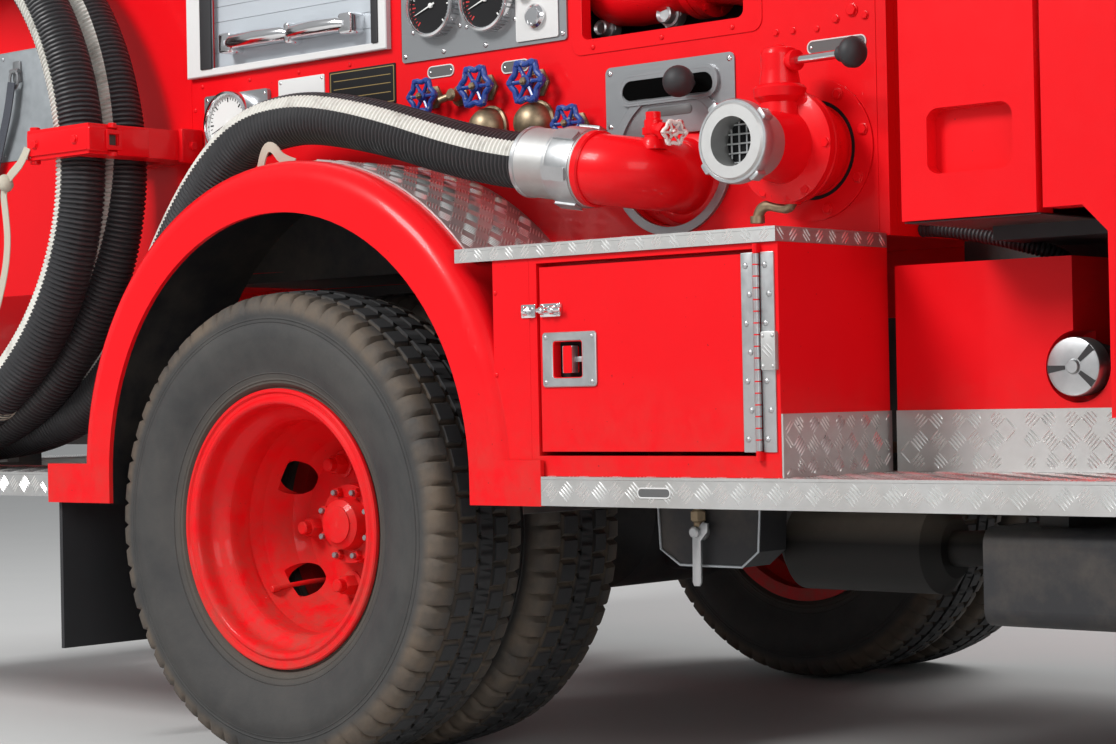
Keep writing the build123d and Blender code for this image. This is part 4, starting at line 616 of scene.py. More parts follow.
def smooth_line(route, spacing):
    # points evenly spaced along a smooth curve whose control points are the route
    curve = bpy.data.curves.new("route", "CURVE")
    curve.dimensions = "3D"
    spline = curve.splines.new("NURBS")
    spline.points.add(len(route) - 1)
    for place, point in zip(spline.points, route):
        place.co = (*point, 1.0)
    spline.order_u = 3
    spline.use_endpoint_u = True
    spline.resolution_u = 12
    holder = bpy.data.objects.new("route", curve)
    mesh = bpy.data.meshes.new_from_object(holder)
    dense = [v.co.copy() for v in mesh.vertices]
    bpy.data.objects.remove(holder)
    bpy.data.curves.remove(curve)
    bpy.data.meshes.remove(mesh)
    gone = [0.0]
    for a, b in zip(dense, dense[1:]):
        gone.append(gone[-1] + (b - a).length)
    count = int(round(gone[-1] / spacing))
    line = []
    place = 0
    for index in range(count + 1):
        want = gone[-1] * index / count
        while gone[place + 1] < want and place < len(gone) - 2:
            place += 1
        share = (want - gone[place]) / (gone[place + 1] - gone[place])
        line.append(dense[place].lerp(dense[place + 1], share))
    return line


rings_in_rib = 3
hose_sides = 15
rib_shape = (0.0, 1.0, 1.0)
stripe_half = radians(17)
line = smooth_line(hose_route(), rib_pitch / rings_in_rib)
stripe_turn = (
    # share of the hose's length, angle of the stripe from the coil's inside towards the outside
    (0.0, 66.0), (0.05, 52.0), (0.1, 48.0), (0.17, 40.0), (0.3, 90.0), (0.4, 120.0), (0.44, 120.0),
    (0.47, 106.0), (0.5, 80.0), (0.54, 46.0), (0.7, 70.0), (0.8, 74.0), (0.9, 66.0), (1.0, 60.0),
)
stripe_bed = 0.003
hose_body = []
hose_stripe = []
for index, point in enumerate(line):
    along = (line[min(index + 1, len(line) - 1)] - line[max(index - 1, 0)]).normalized()
    # the stripe is placed from the side of the hose that faces out of the vehicle
    outward = Vector((0, -1, 0))
    outward = (outward - along * outward.dot(along)).normalized()
    inward_coil = along.cross(outward).normalized()
    radius = hose_radius - rib_depth * (1 - rib_shape[index % rings_in_rib])
    turn = radians(read_off(stripe_turn, index / len(line)))
    white_dir = inward_coil * cos(turn) + outward * sin(turn)
    side_dir = along.cross(white_dir)

    def around(angle, reach):
        return point + (white_dir * cos(angle) + side_dir * sin(angle)) * reach

    hose_body.append([around(stripe_half + (2 * pi - 2 * stripe_half) * step / hose_sides, radius)
        for step in range(hose_sides + 1)] + [around(-stripe_half, radius - stripe_bed),
        around(stripe_half, radius - stripe_bed)])
    hose_stripe.append([around(stripe_half - 2 * stripe_half * step / 3, radius + 0.0003)
        for step in range(4)] + [around(edge * stripe_half, radius - 0.0025) for edge in (-1, 1)])
stripe_white = Finish("hose_stripe", (0.62, 0.61, 0.56), 0.55, slot="panel_white")
stain = stripe_white.cloud(32.0, 7.0, 0.7)
stripe_white.set("Base Color",
    stripe_white.mix(stain.ranged(0.5, 0.8), (0.64, 0.63, 0.58), (0.26, 0.24, 0.21)))
Form().skin(hose_body).pair("suction_hose", hose_black, replaces=("suction_hoses",))
Form().skin(hose_stripe).pair("hose_stripe", stripe_white)

# Wheel fixings: five nuts on each disc, eight cone nuts and a domed cap on each hub, and the valve stem. The
# outer wheel's valve reaches out through a hand hole.
nut_circle = 0.104
nut_turns = [radians(113 + 72 * k) for k in range(5)]
hub_circle = 0.055
for ending, body, spacings in wheel_bodies:
    centre = joint[body]
    side = -1 if centre.y < 0 else 1
    rear = len(spacings) == 2
    face = 0.72 if rear else 0.816
    hub_face = face + (0.028 if rear else 0.026)
    fixings = Form()
    stud_ends = Form()

    def spot(radius, angle, out):
        return (centre.x + radius * cos(angle), side * out, centre.z + radius * sin(angle))

    def outwards(radius, angle, out):
        return towards(spot(radius, angle, out), (0, side, 0))

    for angle in nut_turns:
        place = outwards(nut_circle, angle, face)
        fixings.lathe(place, mm((0, 22.5), (3, 22.5), (4, 20)), 20)
        fixings.lathe(place, mm((0, 17.5), (20, 17.5), (24, 14.5)), 6)
        fixings.lathe(place, mm((20, 11), (36, 11), (38, 9)), 14)
    for k in range(8):
        place = outwards(hub_circle, radians(22.5 + 45 * k), hub_face)
        fixings.lathe(place, mm((0, 8.5), (9, 8.5), (10.5, 7)), 6)
        stud_ends.lathe(place, mm((9, 4.8), (16, 4.8), (17, 4)), 10)
    if rear:
        fixings.lathe(outwards(0, 0, 0.775), mm((0, 30), (3, 30), (4, 26)), 24)
    # rounded double lip of the rim, and its barrel drawn smoothly in to the drop centre
    rim_y = centre.y + side * (twin_half if rear else 0.0)
    lip = mm((74.5, 222.4), (79, 222.2), (80.8, 220), (80.3, 216.8), (78, 214.8), (75.7, 213), (75.6, 210),
        (77.6, 207.5), (79.6, 205), (79.8, 201.5), (78, 198.5), (73, 195.8), (66, 194.6), (58, 194.1),
        (52, 193.2), (46.5, 190), (40, 183.8), (34, 178), (28.5, 173.8), (23, 171.9), (15, 171.4),
        (-10, 171.6), (-10, 174), (74.5, 200))
    fixings.lathe(towards((centre.x, rim_y, centre.z), (0, side, 0)), lip, 96, looped=True)
    fixings.make(f"wheel_nuts_{ending}", red, body)
    stud_ends.make(f"hub_stud_ends_{ending}", steel, body)
    valve = Form()
    angle = radians(221)
    out = 0.075 if rear else 0.018
    stem_line = [Vector(spot(r, angle, face + out * share))
        for r, share in ((0.15, -0.3), (0.152, 0.2), (0.156, 0.65), (0.161, 1.0))]
    valve.sweep(stem_line, 0.0042, 10)
    valve.rod(stem_line[-1],
        stem_line[-1] + (stem_line[-1] - stem_line[-2]).normalized() * 0.014, 0.0058, 12, 0.001)
    valve.make(f"valve_stem_{ending}", red, body)

# Five-bar tread: raised bars in groups of five, each group square to its neighbours, rolled into every step,
# cover and kick plate. The bars stop short of the plates' edges.
bar_group = 0.03
bar_length = 0.0235
bar_width = 0.003
bar_height = 0.0011
bars_in_group = 5


def tread_bars(form, place, width, height, margin=0.004):
    # place is the middle of the plate's face
    bar = (
        # along the bar, across it, above the plate
        (-0.5, 0.0, 0), (-0.28, -0.5, 0), (0.28, -0.5, 0), (0.5, 0.0, 0), (0.28, 0.5, 0), (-0.28, 0.5, 0),
        (-0.3, 0.0, 1), (0.3, 0.0, 1),
    )
    sides = ((0, 1, 6), (1, 2, 7, 6), (2, 3, 7), (3, 4, 7), (4, 5, 6, 7), (5, 0, 6))
    columns = int(ceil(width / bar_group)) + 1
    rows = int(ceil(height / bar_group)) + 1
    for column in range(-columns // 2, columns // 2 + 1):
        for row in range(-rows // 2, rows // 2 + 1):
            turn = radians(45 if (column + row) % 2 else -45)
            for k in range(bars_in_group):
                off = (k - (bars_in_group - 1) / 2) * bar_group * 0.165
                x = column * bar_group - off * sin(turn)
                y = row * bar_group + off * cos(turn)
                if abs(x) > width / 2 - margin - 0.006 or abs(y) > height / 2 - margin - 0.003:
                    continue
                room = min(width / 2 - margin - abs(x), height / 2 - margin - abs(y)) / cos(pi / 4)
                length = min(bar_length, 2 * room)
                start = len(form.points)
                for along, across, up in bar:
                    u = along * length
                    v = across * bar_width
                    form.points.append(place @ Vector((x + u * cos(turn) - v * sin(turn),
                        y + u * sin(turn) + v * cos(turn), up * bar_height - 0.0001)))
                form.faces.extend(tuple(start + i for i in face) for face in sides)


step_inner = 0.69
kick_end_y = 0.9347
step_top = 0.467
step_low = 0.426
front_foot = rear_x + 0.594
step_front = rear_x + 2.25
rear_foot = rear_x - 0.536
rear_end = -2.775
cover_rear = rear_x + 0.43
cover_front = rear_x + 1.005
cover_top = 0.796
cover_edge_z = 0.786
cover_y = 0.94
bars = Form()
for x0, x1 in ((front_foot, step_front), (rear_end + 0.19, rear_foot)):
    tread_bars(bars, towards(((x0 + x1) / 2, -(step_y + step_inner) / 2, step_top), (0, 0, 1), (0, 1, 0)),
        x1 - x0, step_y - step_inner)
    tread_bars(bars, on_side((x0 + x1) / 2, (step_top + step_low) / 2, step_y),
        x1 - x0, step_top - step_low, 0.002)
tread_bars(bars, towards(((cover_rear + cover_front) / 2, -(cover_y + panel_y) / 2, cover_top), (0, 0, 1),
    (0, 1, 0)), cover_front - cover_rear, cover_y - panel_y)
tread_bars(bars, on_side((cover_rear + cover_front) / 2, cover_edge_z, cover_y),
    cover_front - cover_rear, 0.02, 0.001)
tread_bars(bars, towards((cover_front, -(cover_y + panel_y) / 2, cover_edge_z), (1, 0, 0)),
    cover_y - panel_y, 0.02, 0.001)
kick_low = 0.4673
kick_high = 0.551
kick_y = 0.682
riser_rear = rear_x + 1.017
riser_front = rear_x + 1.6
for x0, x1 in ((riser_rear, rear_x + 1.209), (rear_x + 1.211, riser_front)):
    tread_bars(bars, on_side((x0 + x1) / 2, (kick_low + kick_high) / 2, kick_y),
        x1 - x0, kick_high - kick_low)
kick_end = towards((rear_x + 1.008, -(kick_end_y + panel_y) / 2, (kick_low + kick_high) / 2), (1, 0, 0))
tread_bars(bars, kick_end, kick_end_y - panel_y, kick_high - kick_low)

# The deck over the arch is a plate rolled to the arch's curve, so its bars are laid flat and then bent
arch_middle = Vector((rear_x + 0.043, 0, 0.462))
deck_radius = 0.498
deck_start = radians(40)
deck_end = radians(84)
deck_width = (panel_y, 0.895)
deck_length = (deck_end - deck_start) * deck_radius
flat_bars = Form()
tread_bars(flat_bars, Matrix.Identity(4), deck_length, deck_width[1] - deck_width[0])
for point in flat_bars.points:
    angle = (deck_start + deck_end) / 2 - point.x / deck_radius
    reach = deck_radius + point.z
    point.x, point.y, point.z = (arch_middle.x + reach * cos(angle), -point.y - sum(deck_width) / 2,
        arch_middle.z + reach * sin(angle))
bars.join(flat_bars)
bars.mirror()
tread_bars(bars, towards((rear_end + 0.095, 0, step_top), (0, 0, 1), (0, 1, 0)), 0.17, 2 * step_y - 0.01)
bar_metal = Finish("tread_bars", (0.82, 0.82, 0.8), 0.26, 0.9, "tread_plate")
bar_metal.set("Roughness", 0.18 + 0.26 * bar_metal.cloud(70.0, 4.0))
bars.make("tread_bars", bar_metal, sharp=20.0)

# Pump panel plates: a steel gauge plate with two dials, a white switch plate, a square gauge to the rear, two
# blank plates and blank tags, all on small domed screws.
gauge_face = panel_y + 0.0035
gauge_low = 1.128
gauge_high = 1.3
chrome = Finish("handrail_chrome", (0.78, 0.78, 0.79), 0.12, 1.0)
chrome.set("Roughness", 0.08 + 0.14 * chrome.cloud(60.0, 5.0))
panel_white = Finish("panel_white", (0.66, 0.66, 0.65), 0.45)
dial_black = Finish("dial_black", (0.01, 0.01, 0.011), 0.7, slot="black_plastic", specular_ior_level=0.2)
dial_white = Finish("dial_white", (0.72, 0.72, 0.7), 0.5, slot="panel_white")
dull_red = Finish("dial_red", (0.5, 0.02, 0.02), 0.5, slot="lamp_red")
screws = Form()
bezels = Form()
faces = Form()
white_faces = Form()
dark_ticks = Form()
ticks = Form()
red_ticks = Form()
needles = Form()


def dial(x, z, radius, out, white_face=False):
    place = on_side(x, z, out)
    bezels.lathe(place, [(0.0, radius), (0.016, radius), (0.02, radius * 0.97), (0.021, radius * 0.9),
        (0.017, radius * 0.86), (0.01, radius * 0.85)], 48)
    face_place = on_side(x, z, out + 0.0105)
    (white_faces if white_face else faces).lathe(face_place,
        [(-0.002, radius * 0.86), (0.001, radius * 0.86), (0.0012, 0.0)], 48)
    tick_place = on_side(x, z, out + 0.0116)
    for k in range(31):
        angle = radians(225 - 270 * k / 30)
        long_tick = k % 5 == 0
        r0 = radius * (0.66 if long_tick else 0.72)
        r1 = radius * 0.8
        wide = radius * (0.022 if long_tick else 0.011)
        side = Vector((-sin(angle), cos(angle))) * wide
        ends = [Vector((cos(angle), sin(angle))) * r for r in (r0, r1)]
        outline = [ends[0] - side, ends[1] - side, ends[1] + side, ends[0] + side]
        (dark_ticks if white_face else red_ticks if k < 7 else ticks).plate(tick_place, outline, 0.0, 0.0004)
    needle = radians(200)
    side = Vector((-sin(needle), cos(needle))) * radius * 0.02
    tip = Vector((cos(needle), sin(needle))) * radius * 0.7
    tail = Vector((cos(needle), sin(needle))) * -radius * 0.18
    (dark_ticks if white_face else needles).plate(tick_place, [tail - side * 1.5, tip - side * 0.3,
        tip + side * 0.3, tail + side * 1.5], 0.002, 0.0028)
    needles.lathe(tick_place, [(0, radius * 0.08), (0.003, radius * 0.08), (0.004, radius * 0.05)], 20)


gauges = (
    # x, z, radius of the two dials on the steel plate
    (rear_x + 0.155, 1.212, 0.052), (rear_x + 0.274, 1.208, 0.052),
)
for x, z, radius in gauges:
    dial(x, z, radius, gauge_face)
dial(rear_x - 0.336, 1.065, 0.0575, panel_y + 0.008, True)
for x in (rear_x + 0.084, rear_x + 0.17, rear_x + 0.262, rear_x + 0.424):
    for z in (gauge_low + 0.01, gauge_high - 0.01):
        screws.rivet(on_side(x, z, gauge_face), 0.0045)
for x, z, radius in gauges:
    for angle in (35, 145, 215, 325):
        screws.rivet(on_circle(x, z, 0.064, angle, gauge_face), 0.004)
screws.rivets([(x, z) for x in (-0.403, -0.254) for z in (1.017, 1.112)], panel_y + 0.008, 0.0035)

plates = Form()
plates.plate(on_side(0, 0), rounded(rear_x + 0.329, rear_x + 0.417, 1.134, 1.292, 0.004), 0.0, 0.0062, 0.0008)
plates.plate(on_side(0, 0), rounded(rear_x - 0.225, rear_x - 0.111, 1.055, 1.131, 0.003), 0.0, 0.0022, 0.0006)
black_plates = Form()
black_plates.plate(on_side(0, 0),
    rounded(rear_x - 0.099, rear_x + 0.058, 1.066, 1.132, 0.002), 0.0, 0.0018, 0.0004)
gilt = Finish("gilt_rules", (0.42, 0.3, 0.12), 0.4, 0.6, "coupling_aluminium")
rules = Form()
rules.frame(on_side(0, 0), rounded(rear_x - 0.096, rear_x + 0.055, 1.069, 1.129, 0.002),
    rounded(rear_x - 0.0945, rear_x + 0.0535, 1.0705, 1.1275, 0.002), 0.001, 0.0021)
for z in (1.085, 1.1, 1.114):
    rules.plate(on_side(0, 0),
        rounded(rear_x - 0.088, rear_x + 0.047, z, z + 0.0012, 0.0005, 1), 0.001, 0.0021)
screws.rivets(((-0.219, 1.125), (-0.117, 1.125)), panel_y + 0.002, 0.003)
tags = (
    # x0, x1, middle z of each blank tag
    (rear_x + 0.131, rear_x + 0.19, 1.107), (rear_x + 0.293, rear_x + 0.351, 1.098),
    (rear_x + 0.879, rear_x + 0.979, 1.065),
)
tag_grey = Finish("tag_grey", (0.1, 0.1, 0.1), 0.45, slot="black_plastic")
tag_rims = Form()
tag_faces = Form()
for x0, x1, z in tags:
    outer = rounded(x0, x1, z - 0.01, z + 0.01, 0.0095)
    inner = rounded(x0 + 0.002, x1 - 0.002, z - 0.008, z + 0.008, 0.0075)
    tag_rims.frame(on_side(0, 0), outer, inner, 0.0, 0.002, 0.0004)
    tag_faces.plate(on_side(0, 0), inner, 0.0, 0.0012)
    for x in (x0 + 0.007, x1 - 0.007):
        screws.rivet(on_side(x, z, panel_y + 0.0012), 0.0024)
# the switch and the knob on the white plate
buttons = Form()
buttons.lathe(on_side(rear_x + 0.373, 1.17, panel_y + 0.006),
    mm((0, 19), (6, 19), (10, 16), (8, 13), (12, 12), (13, 0)), 32)
buttons.lathe(on_side(rear_x + 0.348, 1.212, panel_y + 0.006), mm((0, 13), (12, 13), (14, 11), (14, 0)), 32)
for form, name, finish in ((bezels, "gauge_bezels", chrome), (faces, "gauge_faces", dial_black),
        (ticks, "gauge_ticks", dial_white), (white_faces, "gauge_white_faces", dial_white),
        (dark_ticks, "gauge_dark_ticks", dial_black), (red_ticks, "gauge_red_ticks", dull_red),
        (needles, "gauge_needles", dial_white), (plates, "switch_plates", panel_white),
        (black_plates, "black_plates", dial_black), (rules, "plate_rules", gilt),
        (tag_rims, "tag_rims", panel_white), (tag_faces, "tag_faces", tag_grey),
        (buttons, "panel_buttons", chrome)):
    form.mirror().make(name, finish)


# Small valves: six-lobed cast hand wheels on their stems, a cock, and domed caps, on the panel under the
# gauges. The suction elbow's own wheel is painted red and white, and worn.
def hand_wheel(form, place, radius, height=0.03):
    steps = 60
    ring = []
    for i in range(steps):
        angle = 2 * pi * i / steps
        lobe = radius * (0.9 + 0.1 * cos(6 * angle))
        ring.append(place @ Vector((*polar(lobe, angle), height)))
    form.sweep(ring, radius * 0.155, 10, looped=True)
    for k in range(6):
        angle = pi * k / 3
        tip = place @ Vector((*polar(radius * 0.95, angle), height))
        hub = place @ Vector((*polar(radius * 0.22, angle), height - 0.002))
        form.sweep([hub, hub.lerp(tip, 0.5), tip], [radius * 0.13, radius * 0.1, radius * 0.13], 8)
        form.lathe(place @ Matrix.Translation((*polar(radius * 0.98, angle), height - radius * 0.19)),
            [(0, radius * 0.1), (radius * 0.06, radius * 0.17), (radius * 0.32, radius * 0.17),
            (radius * 0.38, radius * 0.1)], 12)
    form.lathe(place, [(height - 0.008, radius * 0.3), (height + 0.004, radius * 0.3),
        (height + 0.006, radius * 0.22)], 20)


def valve_stem(form, place, radius, height=0.03):
    form.lathe(place, [(0, radius * 0.72), (0.004, radius * 0.72), (0.005, radius * 0.5),
        (0.014, radius * 0.5), (0.015, radius * 0.4), (0.022, radius * 0.36)], 6)
    form.lathe(place, [(0.015, radius * 0.16), (height + 0.01, radius * 0.16),
        (height + 0.012, radius * 0.1)], 12)
    form.lathe(place, [(height + 0.004, radius * 0.2), (height + 0.009, radius * 0.2)], 6)


brass = Finish("aged_brass", (0.34, 0.24, 0.13), 0.4, 0.85, "coupling_aluminium")
tarnish = brass.cloud(90.0, 6.0, 0.7)
brass.set("Base Color", brass.mix(tarnish, (0.13, 0.1, 0.07), (0.46, 0.35, 0.22)))
brass.set("Roughness", 0.3 + 0.3 * tarnish)
wheels = Form()
stems = Form()
for x, z, radius in ((rear_x + 0.145, 1.066, 0.028), (rear_x + 0.262, 1.07, 0.032),
        (rear_x + 0.37, 1.067, 0.033), (rear_x + 0.452, 0.995, 0.028)):
    hand_wheel(wheels, on_side(x, z), radius)
    valve_stem(stems, on_side(x, z), radius)
caps = Form()
for x, z, radius in ((rear_x + 0.27, 1.006, 0.031), (rear_x + 0.367, 1.004, 0.033)):
    caps.lathe(on_side(x, z), [(0, radius), (0.012, radius), (0.022, radius * 0.93), (0.032, radius * 0.72),
        (0.038, radius * 0.42), (0.04, 0.0)], 32)
    caps.lathe(on_side(x, z), [(0, radius * 1.12), (0.005, radius * 1.12), (0.007, radius)], 32)
cock = on_side(rear_x + 0.205, 1.063)
stems.lathe(cock, mm((0, 17), (6, 17), (10, 10), (26, 10), (30, 6)), 16)
stems.rod(cock @ Vector((0, 0, 0.02)), cock @ Vector((-0.022, -0.008, 0.03)), 0.006, 12, 0.001)
wheels.mirror().make("panel_hand_wheels", blue, replaces=("hand_wheels",))
stems.mirror().make("valve_stems", brass)
caps.mirror().make("domed_caps", brass)

# Lever plate: a brushed steel plate that ends in the ring round the suction elbow, with a raised rim round
# its slot, the lever's black knob, and a blank tag below.
lever_plate = Form()
plate_line = rounded(rear_x + 0.507, rear_x + 0.751, 0.965, 1.075, 0.01)
lever_plate.plate(on_side(0, 0), plate_line, 0.0, 0.0022, 0.0006)
elbow_z = 0.927
outer, inner = (circle(radius, 64, rear_x + 0.63, elbow_z) for radius in (0.113, 0.1))
lever_plate.frame(on_side(0, 0), outer, inner, 0.0, 0.006, 0.0012)
slot_outer = rounded(rear_x + 0.533, rear_x + 0.724, 1.012, 1.062, 0.0245, 8)
slot_mid = rounded(rear_x + 0.544, rear_x + 0.715, 1.0215, 1.0525, 0.015, 8)
lever_plate.frame(on_side(0, 0), slot_outer, slot_mid, 0.002, 0.0085, 0.0035)
screws.rivets(((0.516, 1.066), (0.742, 1.066), (0.516, 0.985), (0.742, 0.985)), panel_y + 0.0022, 0.0048)
lever_plate.mirror().make("lever_plates", steel)
# a black plate without gloss fills the lever's slot: painted shade for the dark opening behind it
slots = Form()
slots.plate(on_side(0, 0), rounded(rear_x + 0.5435, rear_x + 0.7155, 1.021, 1.053, 0.0152, 8), 0.0, 0.0069)
slot_painted_shade = Finish("slot_painted_shade", (0.003, 0.003, 0.003), 0.9, slot="black_plastic", specular_ior_level=0.0)
slots.mirror().make("lever_slots", slot_painted_shade)
lever_tag = Form()
lever_tag.plate(on_side(0, 0),
    rounded(rear_x + 0.587, rear_x + 0.672, 0.9925, 1.0065, 0.0065), 0.0015, 0.0034, 0.0004)
lever_tag.mirror().make("lever_tags", tag_grey)
knobs = Form()
knob_place = on_side(rear_x + 0.677, 1.0355)
knobs.rod(knob_place.translation, knob_place @ Vector((0, 0, 0.03)), 0.006, 12)
ball = [(0.04 + 0.0235 * sin(radians(a)), 0.0235 * cos(radians(a))) for a in range(-90, 91, 12)]
knobs.lathe(knob_place, ball, 32)
knobs.mirror().make("lever_knobs", plastic)
screws.mirror().make("panel_screws", chrome)

# Locker door fittings: an aluminium piano hinge with a tread-plate patch over its middle, a chrome barrel
# bolt and a recessed paddle latch, all riveted or screwed on.
locker_y = 0.935
door_low = 0.502
door_high = 0.762
hinge_line_x = rear_x + 0.973
alloy = Finish("bare_aluminium", (0.52, 0.53, 0.54), 0.34, 0.9, "coupling_aluminium")
handled = alloy.cloud(45.0, 6.0, 0.65)
alloy.set("Base Color", alloy.mix(handled, (0.4, 0.41, 0.42), (0.6, 0.61, 0.61)))
alloy.set("Roughness", 0.26 + 0.26 * handled)
door_leaf = Form()
frame_leaf = Form()
leaf_rivets = Form()
frame_rivets = Form()
leaves = (
    # form, rivets, edge away from the pin, edge by the pin, thickness
    (door_leaf, leaf_rivets, hinge_line_x - 0.0262, hinge_line_x - 0.0045, 0.0032),
    (frame_leaf, frame_rivets, hinge_line_x + 0.0262, hinge_line_x + 0.0045, 0.0022),
)
for form, rivets, far, near, thick in leaves:
    low, high = min(far, near), max(far, near)
    form.plate(on_side(0, 0, locker_y),
        rounded(low, high, door_low - 0.001, door_high + 0.001, 0.0012, 2), 0.0, thick, 0.0004)
    middle = (low + high) / 2
    for k in range(7):
        z = door_low + 0.016 + k * (door_high - door_low - 0.032) / 6
        rivets.rivet(on_side(middle + (0.003 if k % 2 else -0.003), z, locker_y + thick), 0.0042)
knuckles = 17
for k in range(knuckles):
    step = (door_high - door_low) / knuckles
    low = door_low + k * step
    form = door_leaf if k % 2 else frame_leaf
    barrel = [(0.0003, 0.0036), (0.0009, 0.0046), (step - 0.0009, 0.0046), (step - 0.0003, 0.0036)]
    form.lathe(towards((hinge_line_x, -locker_y - 0.0055, low), (0, 0, 1), (1, 0, 0)), barrel, 14)
patch = Form()
patch.plate(on_side(0, 0, locker_y),
    rounded(hinge_line_x + 0.0068, hinge_line_x + 0.03, 0.608, 0.659, 0.002, 2), 0.0, 0.0075, 0.001)
tread_bars(patch, on_side(hinge_line_x + 0.0184, 0.6335, locker_y + 0.0075), 0.0222, 0.05, 0.001)
for x in (hinge_line_x + 0.0105, hinge_line_x + 0.0263):
    for z in (0.6135, 0.6535):
        patch.rivet(on_side(x, z, locker_y + 0.0075), 0.0028)

latch = Form()
latch_box = (rear_x + 0.5955, rear_x + 0.6945, 0.5925, 0.6695)
well_box = (rear_x + 0.6145, rear_x + 0.669, 0.605, 0.657)
latch.frame(on_side(0, 0, locker_y), rounded(*latch_box, 0.005, 6),
    rounded(*well_box, 0.004, 6), 0.0, 0.0036, 0.0012)
for x in (latch_box[0] + 0.007, latch_box[1] - 0.007):
    for z in (latch_box[2] + 0.007, latch_box[3] - 0.007):
        latch.rivet(on_side(x, z, locker_y + 0.0034), 0.0035)
well = Form()
well.plate(on_side(0, 0, locker_y - 0.0138), rounded(*well_box, 0.004, 6), 0.0, 0.0008)
paddle = [Vector((rear_x + x, z))
    for x, z in ((0.632, 0.612), (0.6505, 0.612), (0.6505, 0.65), (0.632, 0.65))]
latch.plate(on_side(0, 0, locker_y - 0.01), paddle, 0.0, 0.0125, 0.0015)
latch.plate(on_side(0, 0, locker_y - 0.012), [Vector((p.x + 0.012 * (1 if p.x > rear_x + 0.64 else -0.4),
    p.y * 0.2 + 0.8 * 0.631)) for p in paddle], 0.0, 0.006, 0.001)

bolt_plate = Form()
bolt_y = locker_y + 0.0002
pin_y = -bolt_y - 0.0085
pin_z = 0.701
bolt_plate.plate(on_side(0, 0, bolt_y),
    rounded(rear_x + 0.5935, rear_x + 0.6315, 0.6915, 0.7105, 0.002, 3), 0.0, 0.0042, 0.0008)
for x in (rear_x + 0.5985, rear_x + 0.6265):
    bolt_plate.rivet(on_side(x, 0.6945, bolt_y + 0.004), 0.0026)
    bolt_plate.rivet(on_side(x, 0.7075, bolt_y + 0.004), 0.0026)
for x in (rear_x + 0.601, rear_x + 0.62):
    bolt_plate.rod((x - 0.003, pin_y, pin_z), (x + 0.003, pin_y, pin_z), 0.0062, 16, 0.001)
bolt_plate.rod((rear_x + 0.5915, pin_y, pin_z), (rear_x + 0.636, pin_y, pin_z), 0.0036, 14, 0.0008)
bolt_plate.rod((rear_x + 0.612, pin_y, pin_z), (rear_x + 0.612, -bolt_y - 0.019, pin_z), 0.003, 12, 0.0008)
keeper = Form()
keeper.plate(on_side(0, 0, locker_y),
    rounded(rear_x + 0.556, rear_x + 0.583, 0.6915, 0.7105, 0.002, 3), 0.0, 0.0024, 0.0006)
keeper.rod((rear_x + 0.566, -locker_y - 0.0085, pin_z),
    (rear_x + 0.573, -locker_y - 0.0085, pin_z), 0.0062, 16, 0.001)
keeper.rivet(on_side(rear_x + 0.561, 0.7065, locker_y + 0.0023), 0.0024)
keeper.rivet(on_side(rear_x + 0.561, 0.6955, locker_y + 0.0023), 0.0024)

sill_tag = Form()
sill_tag.frame(on_side(0, 0, step_y), rounded(rear_x + 0.77, rear_x + 0.828, 0.4385, 0.4535, 0.0072, 6),
    rounded(rear_x + 0.772, rear_x + 0.826, 0.4405, 0.4515, 0.0052, 6), 0.0, 0.0016, 0.0004)
sill_tag.mirror().make("sill_tag_rims", panel_white)
sill_face = Form()
sill_face.plate(on_side(0, 0, step_y),
    rounded(rear_x + 0.772, rear_x + 0.826, 0.4405, 0.4515, 0.0052, 6), 0.0, 0.001)
sill_face.mirror().make("sill_tag_faces", tag_grey)
frame_leaf.join(frame_rivets).mirror().make("hinge_frame_leaves", alloy)
keeper.mirror().make("bolt_keepers", chrome)
patch.pair("hinge_patch", tread_metal)
for form, name, finish in ((door_leaf.join(leaf_rivets), "hinge_door_leaf", alloy),
        (latch, "paddle_latch", alloy), (well, "latch_well", dial_black),
        (bolt_plate, "barrel_bolt", chrome)):
    form.pair(name, finish, "locker_door_{}")

# Relay inlet: a red flanged casting bolted to the panel and to itself, a collared spindle with a chrome
# lever and a mushroom knob, and an aluminium mouth with lugs and a wire strainer inside.
inlet_x = rear_x + 0.887
inlet_z = 0.92
mouth = 0.875
inlet = Form()
inlet_bolts = Form()
for angle in range(15, 375, 45):
    inlet_bolts.bolt(on_circle(inlet_x, inlet_z, 0.087, angle, panel_y + 0.0025), 0.0075)
inlet.lathe(on_side(inlet_x, inlet_z),
    mm((50, 64), (52, 79), (60, 80), (61.8, 78.5), (63.2, 78.5), (65, 80), (74, 79), (80, 64)), 48)
for angle in range(0, 360, 60):
    head, tail = (on_circle(inlet_x, inlet_z, 0.07, angle, panel_y + out) for out in (0.074, 0.04))
    inlet_bolts.bolt(head, 0.0075)
    inlet_bolts.rod(tail.translation, head.translation, 0.0045, 10)
inlet.lathe(on_side(inlet_x, inlet_z), mm((10, 64), (20, 64.5), (30, 60), (40, 60), (50, 64)), 48)
spindle_y = -(panel_y + 0.08)
spindle = Matrix.Translation((inlet_x, spindle_y, inlet_z))
inlet.lathe(spindle, mm((36, 30), (60, 28), (68, 36), (80, 37), (84, 34), (86, 29), (104, 26), (130, 25.5),
    (135, 23), (138, 16), (138, 0)), 32)
inlet_hub = Vector((inlet_x, spindle_y, inlet_z + 0.117))
lever_end = Vector((inlet_x + 0.124, spindle_y - 0.03, inlet_z + 0.113))
axis = (lever_end - inlet_hub).normalized()
inlet.lathe(towards(inlet_hub, axis), mm((0, 12), (30, 12), (30.5, 14.5), (37, 14.5), (38, 12)), 24)
inlet.rivet(Matrix.Translation((inlet_x, spindle_y, inlet_z + 0.138)), 0.009)
inlet.mirror().make("inlet_castings", red)
gap_ring = Form().lathe(on_side(inlet_x, inlet_z),
    mm((2.4, 65.5), (3, 65.5), (3, 70.5), (2.4, 70.5)), 64, looped=True)
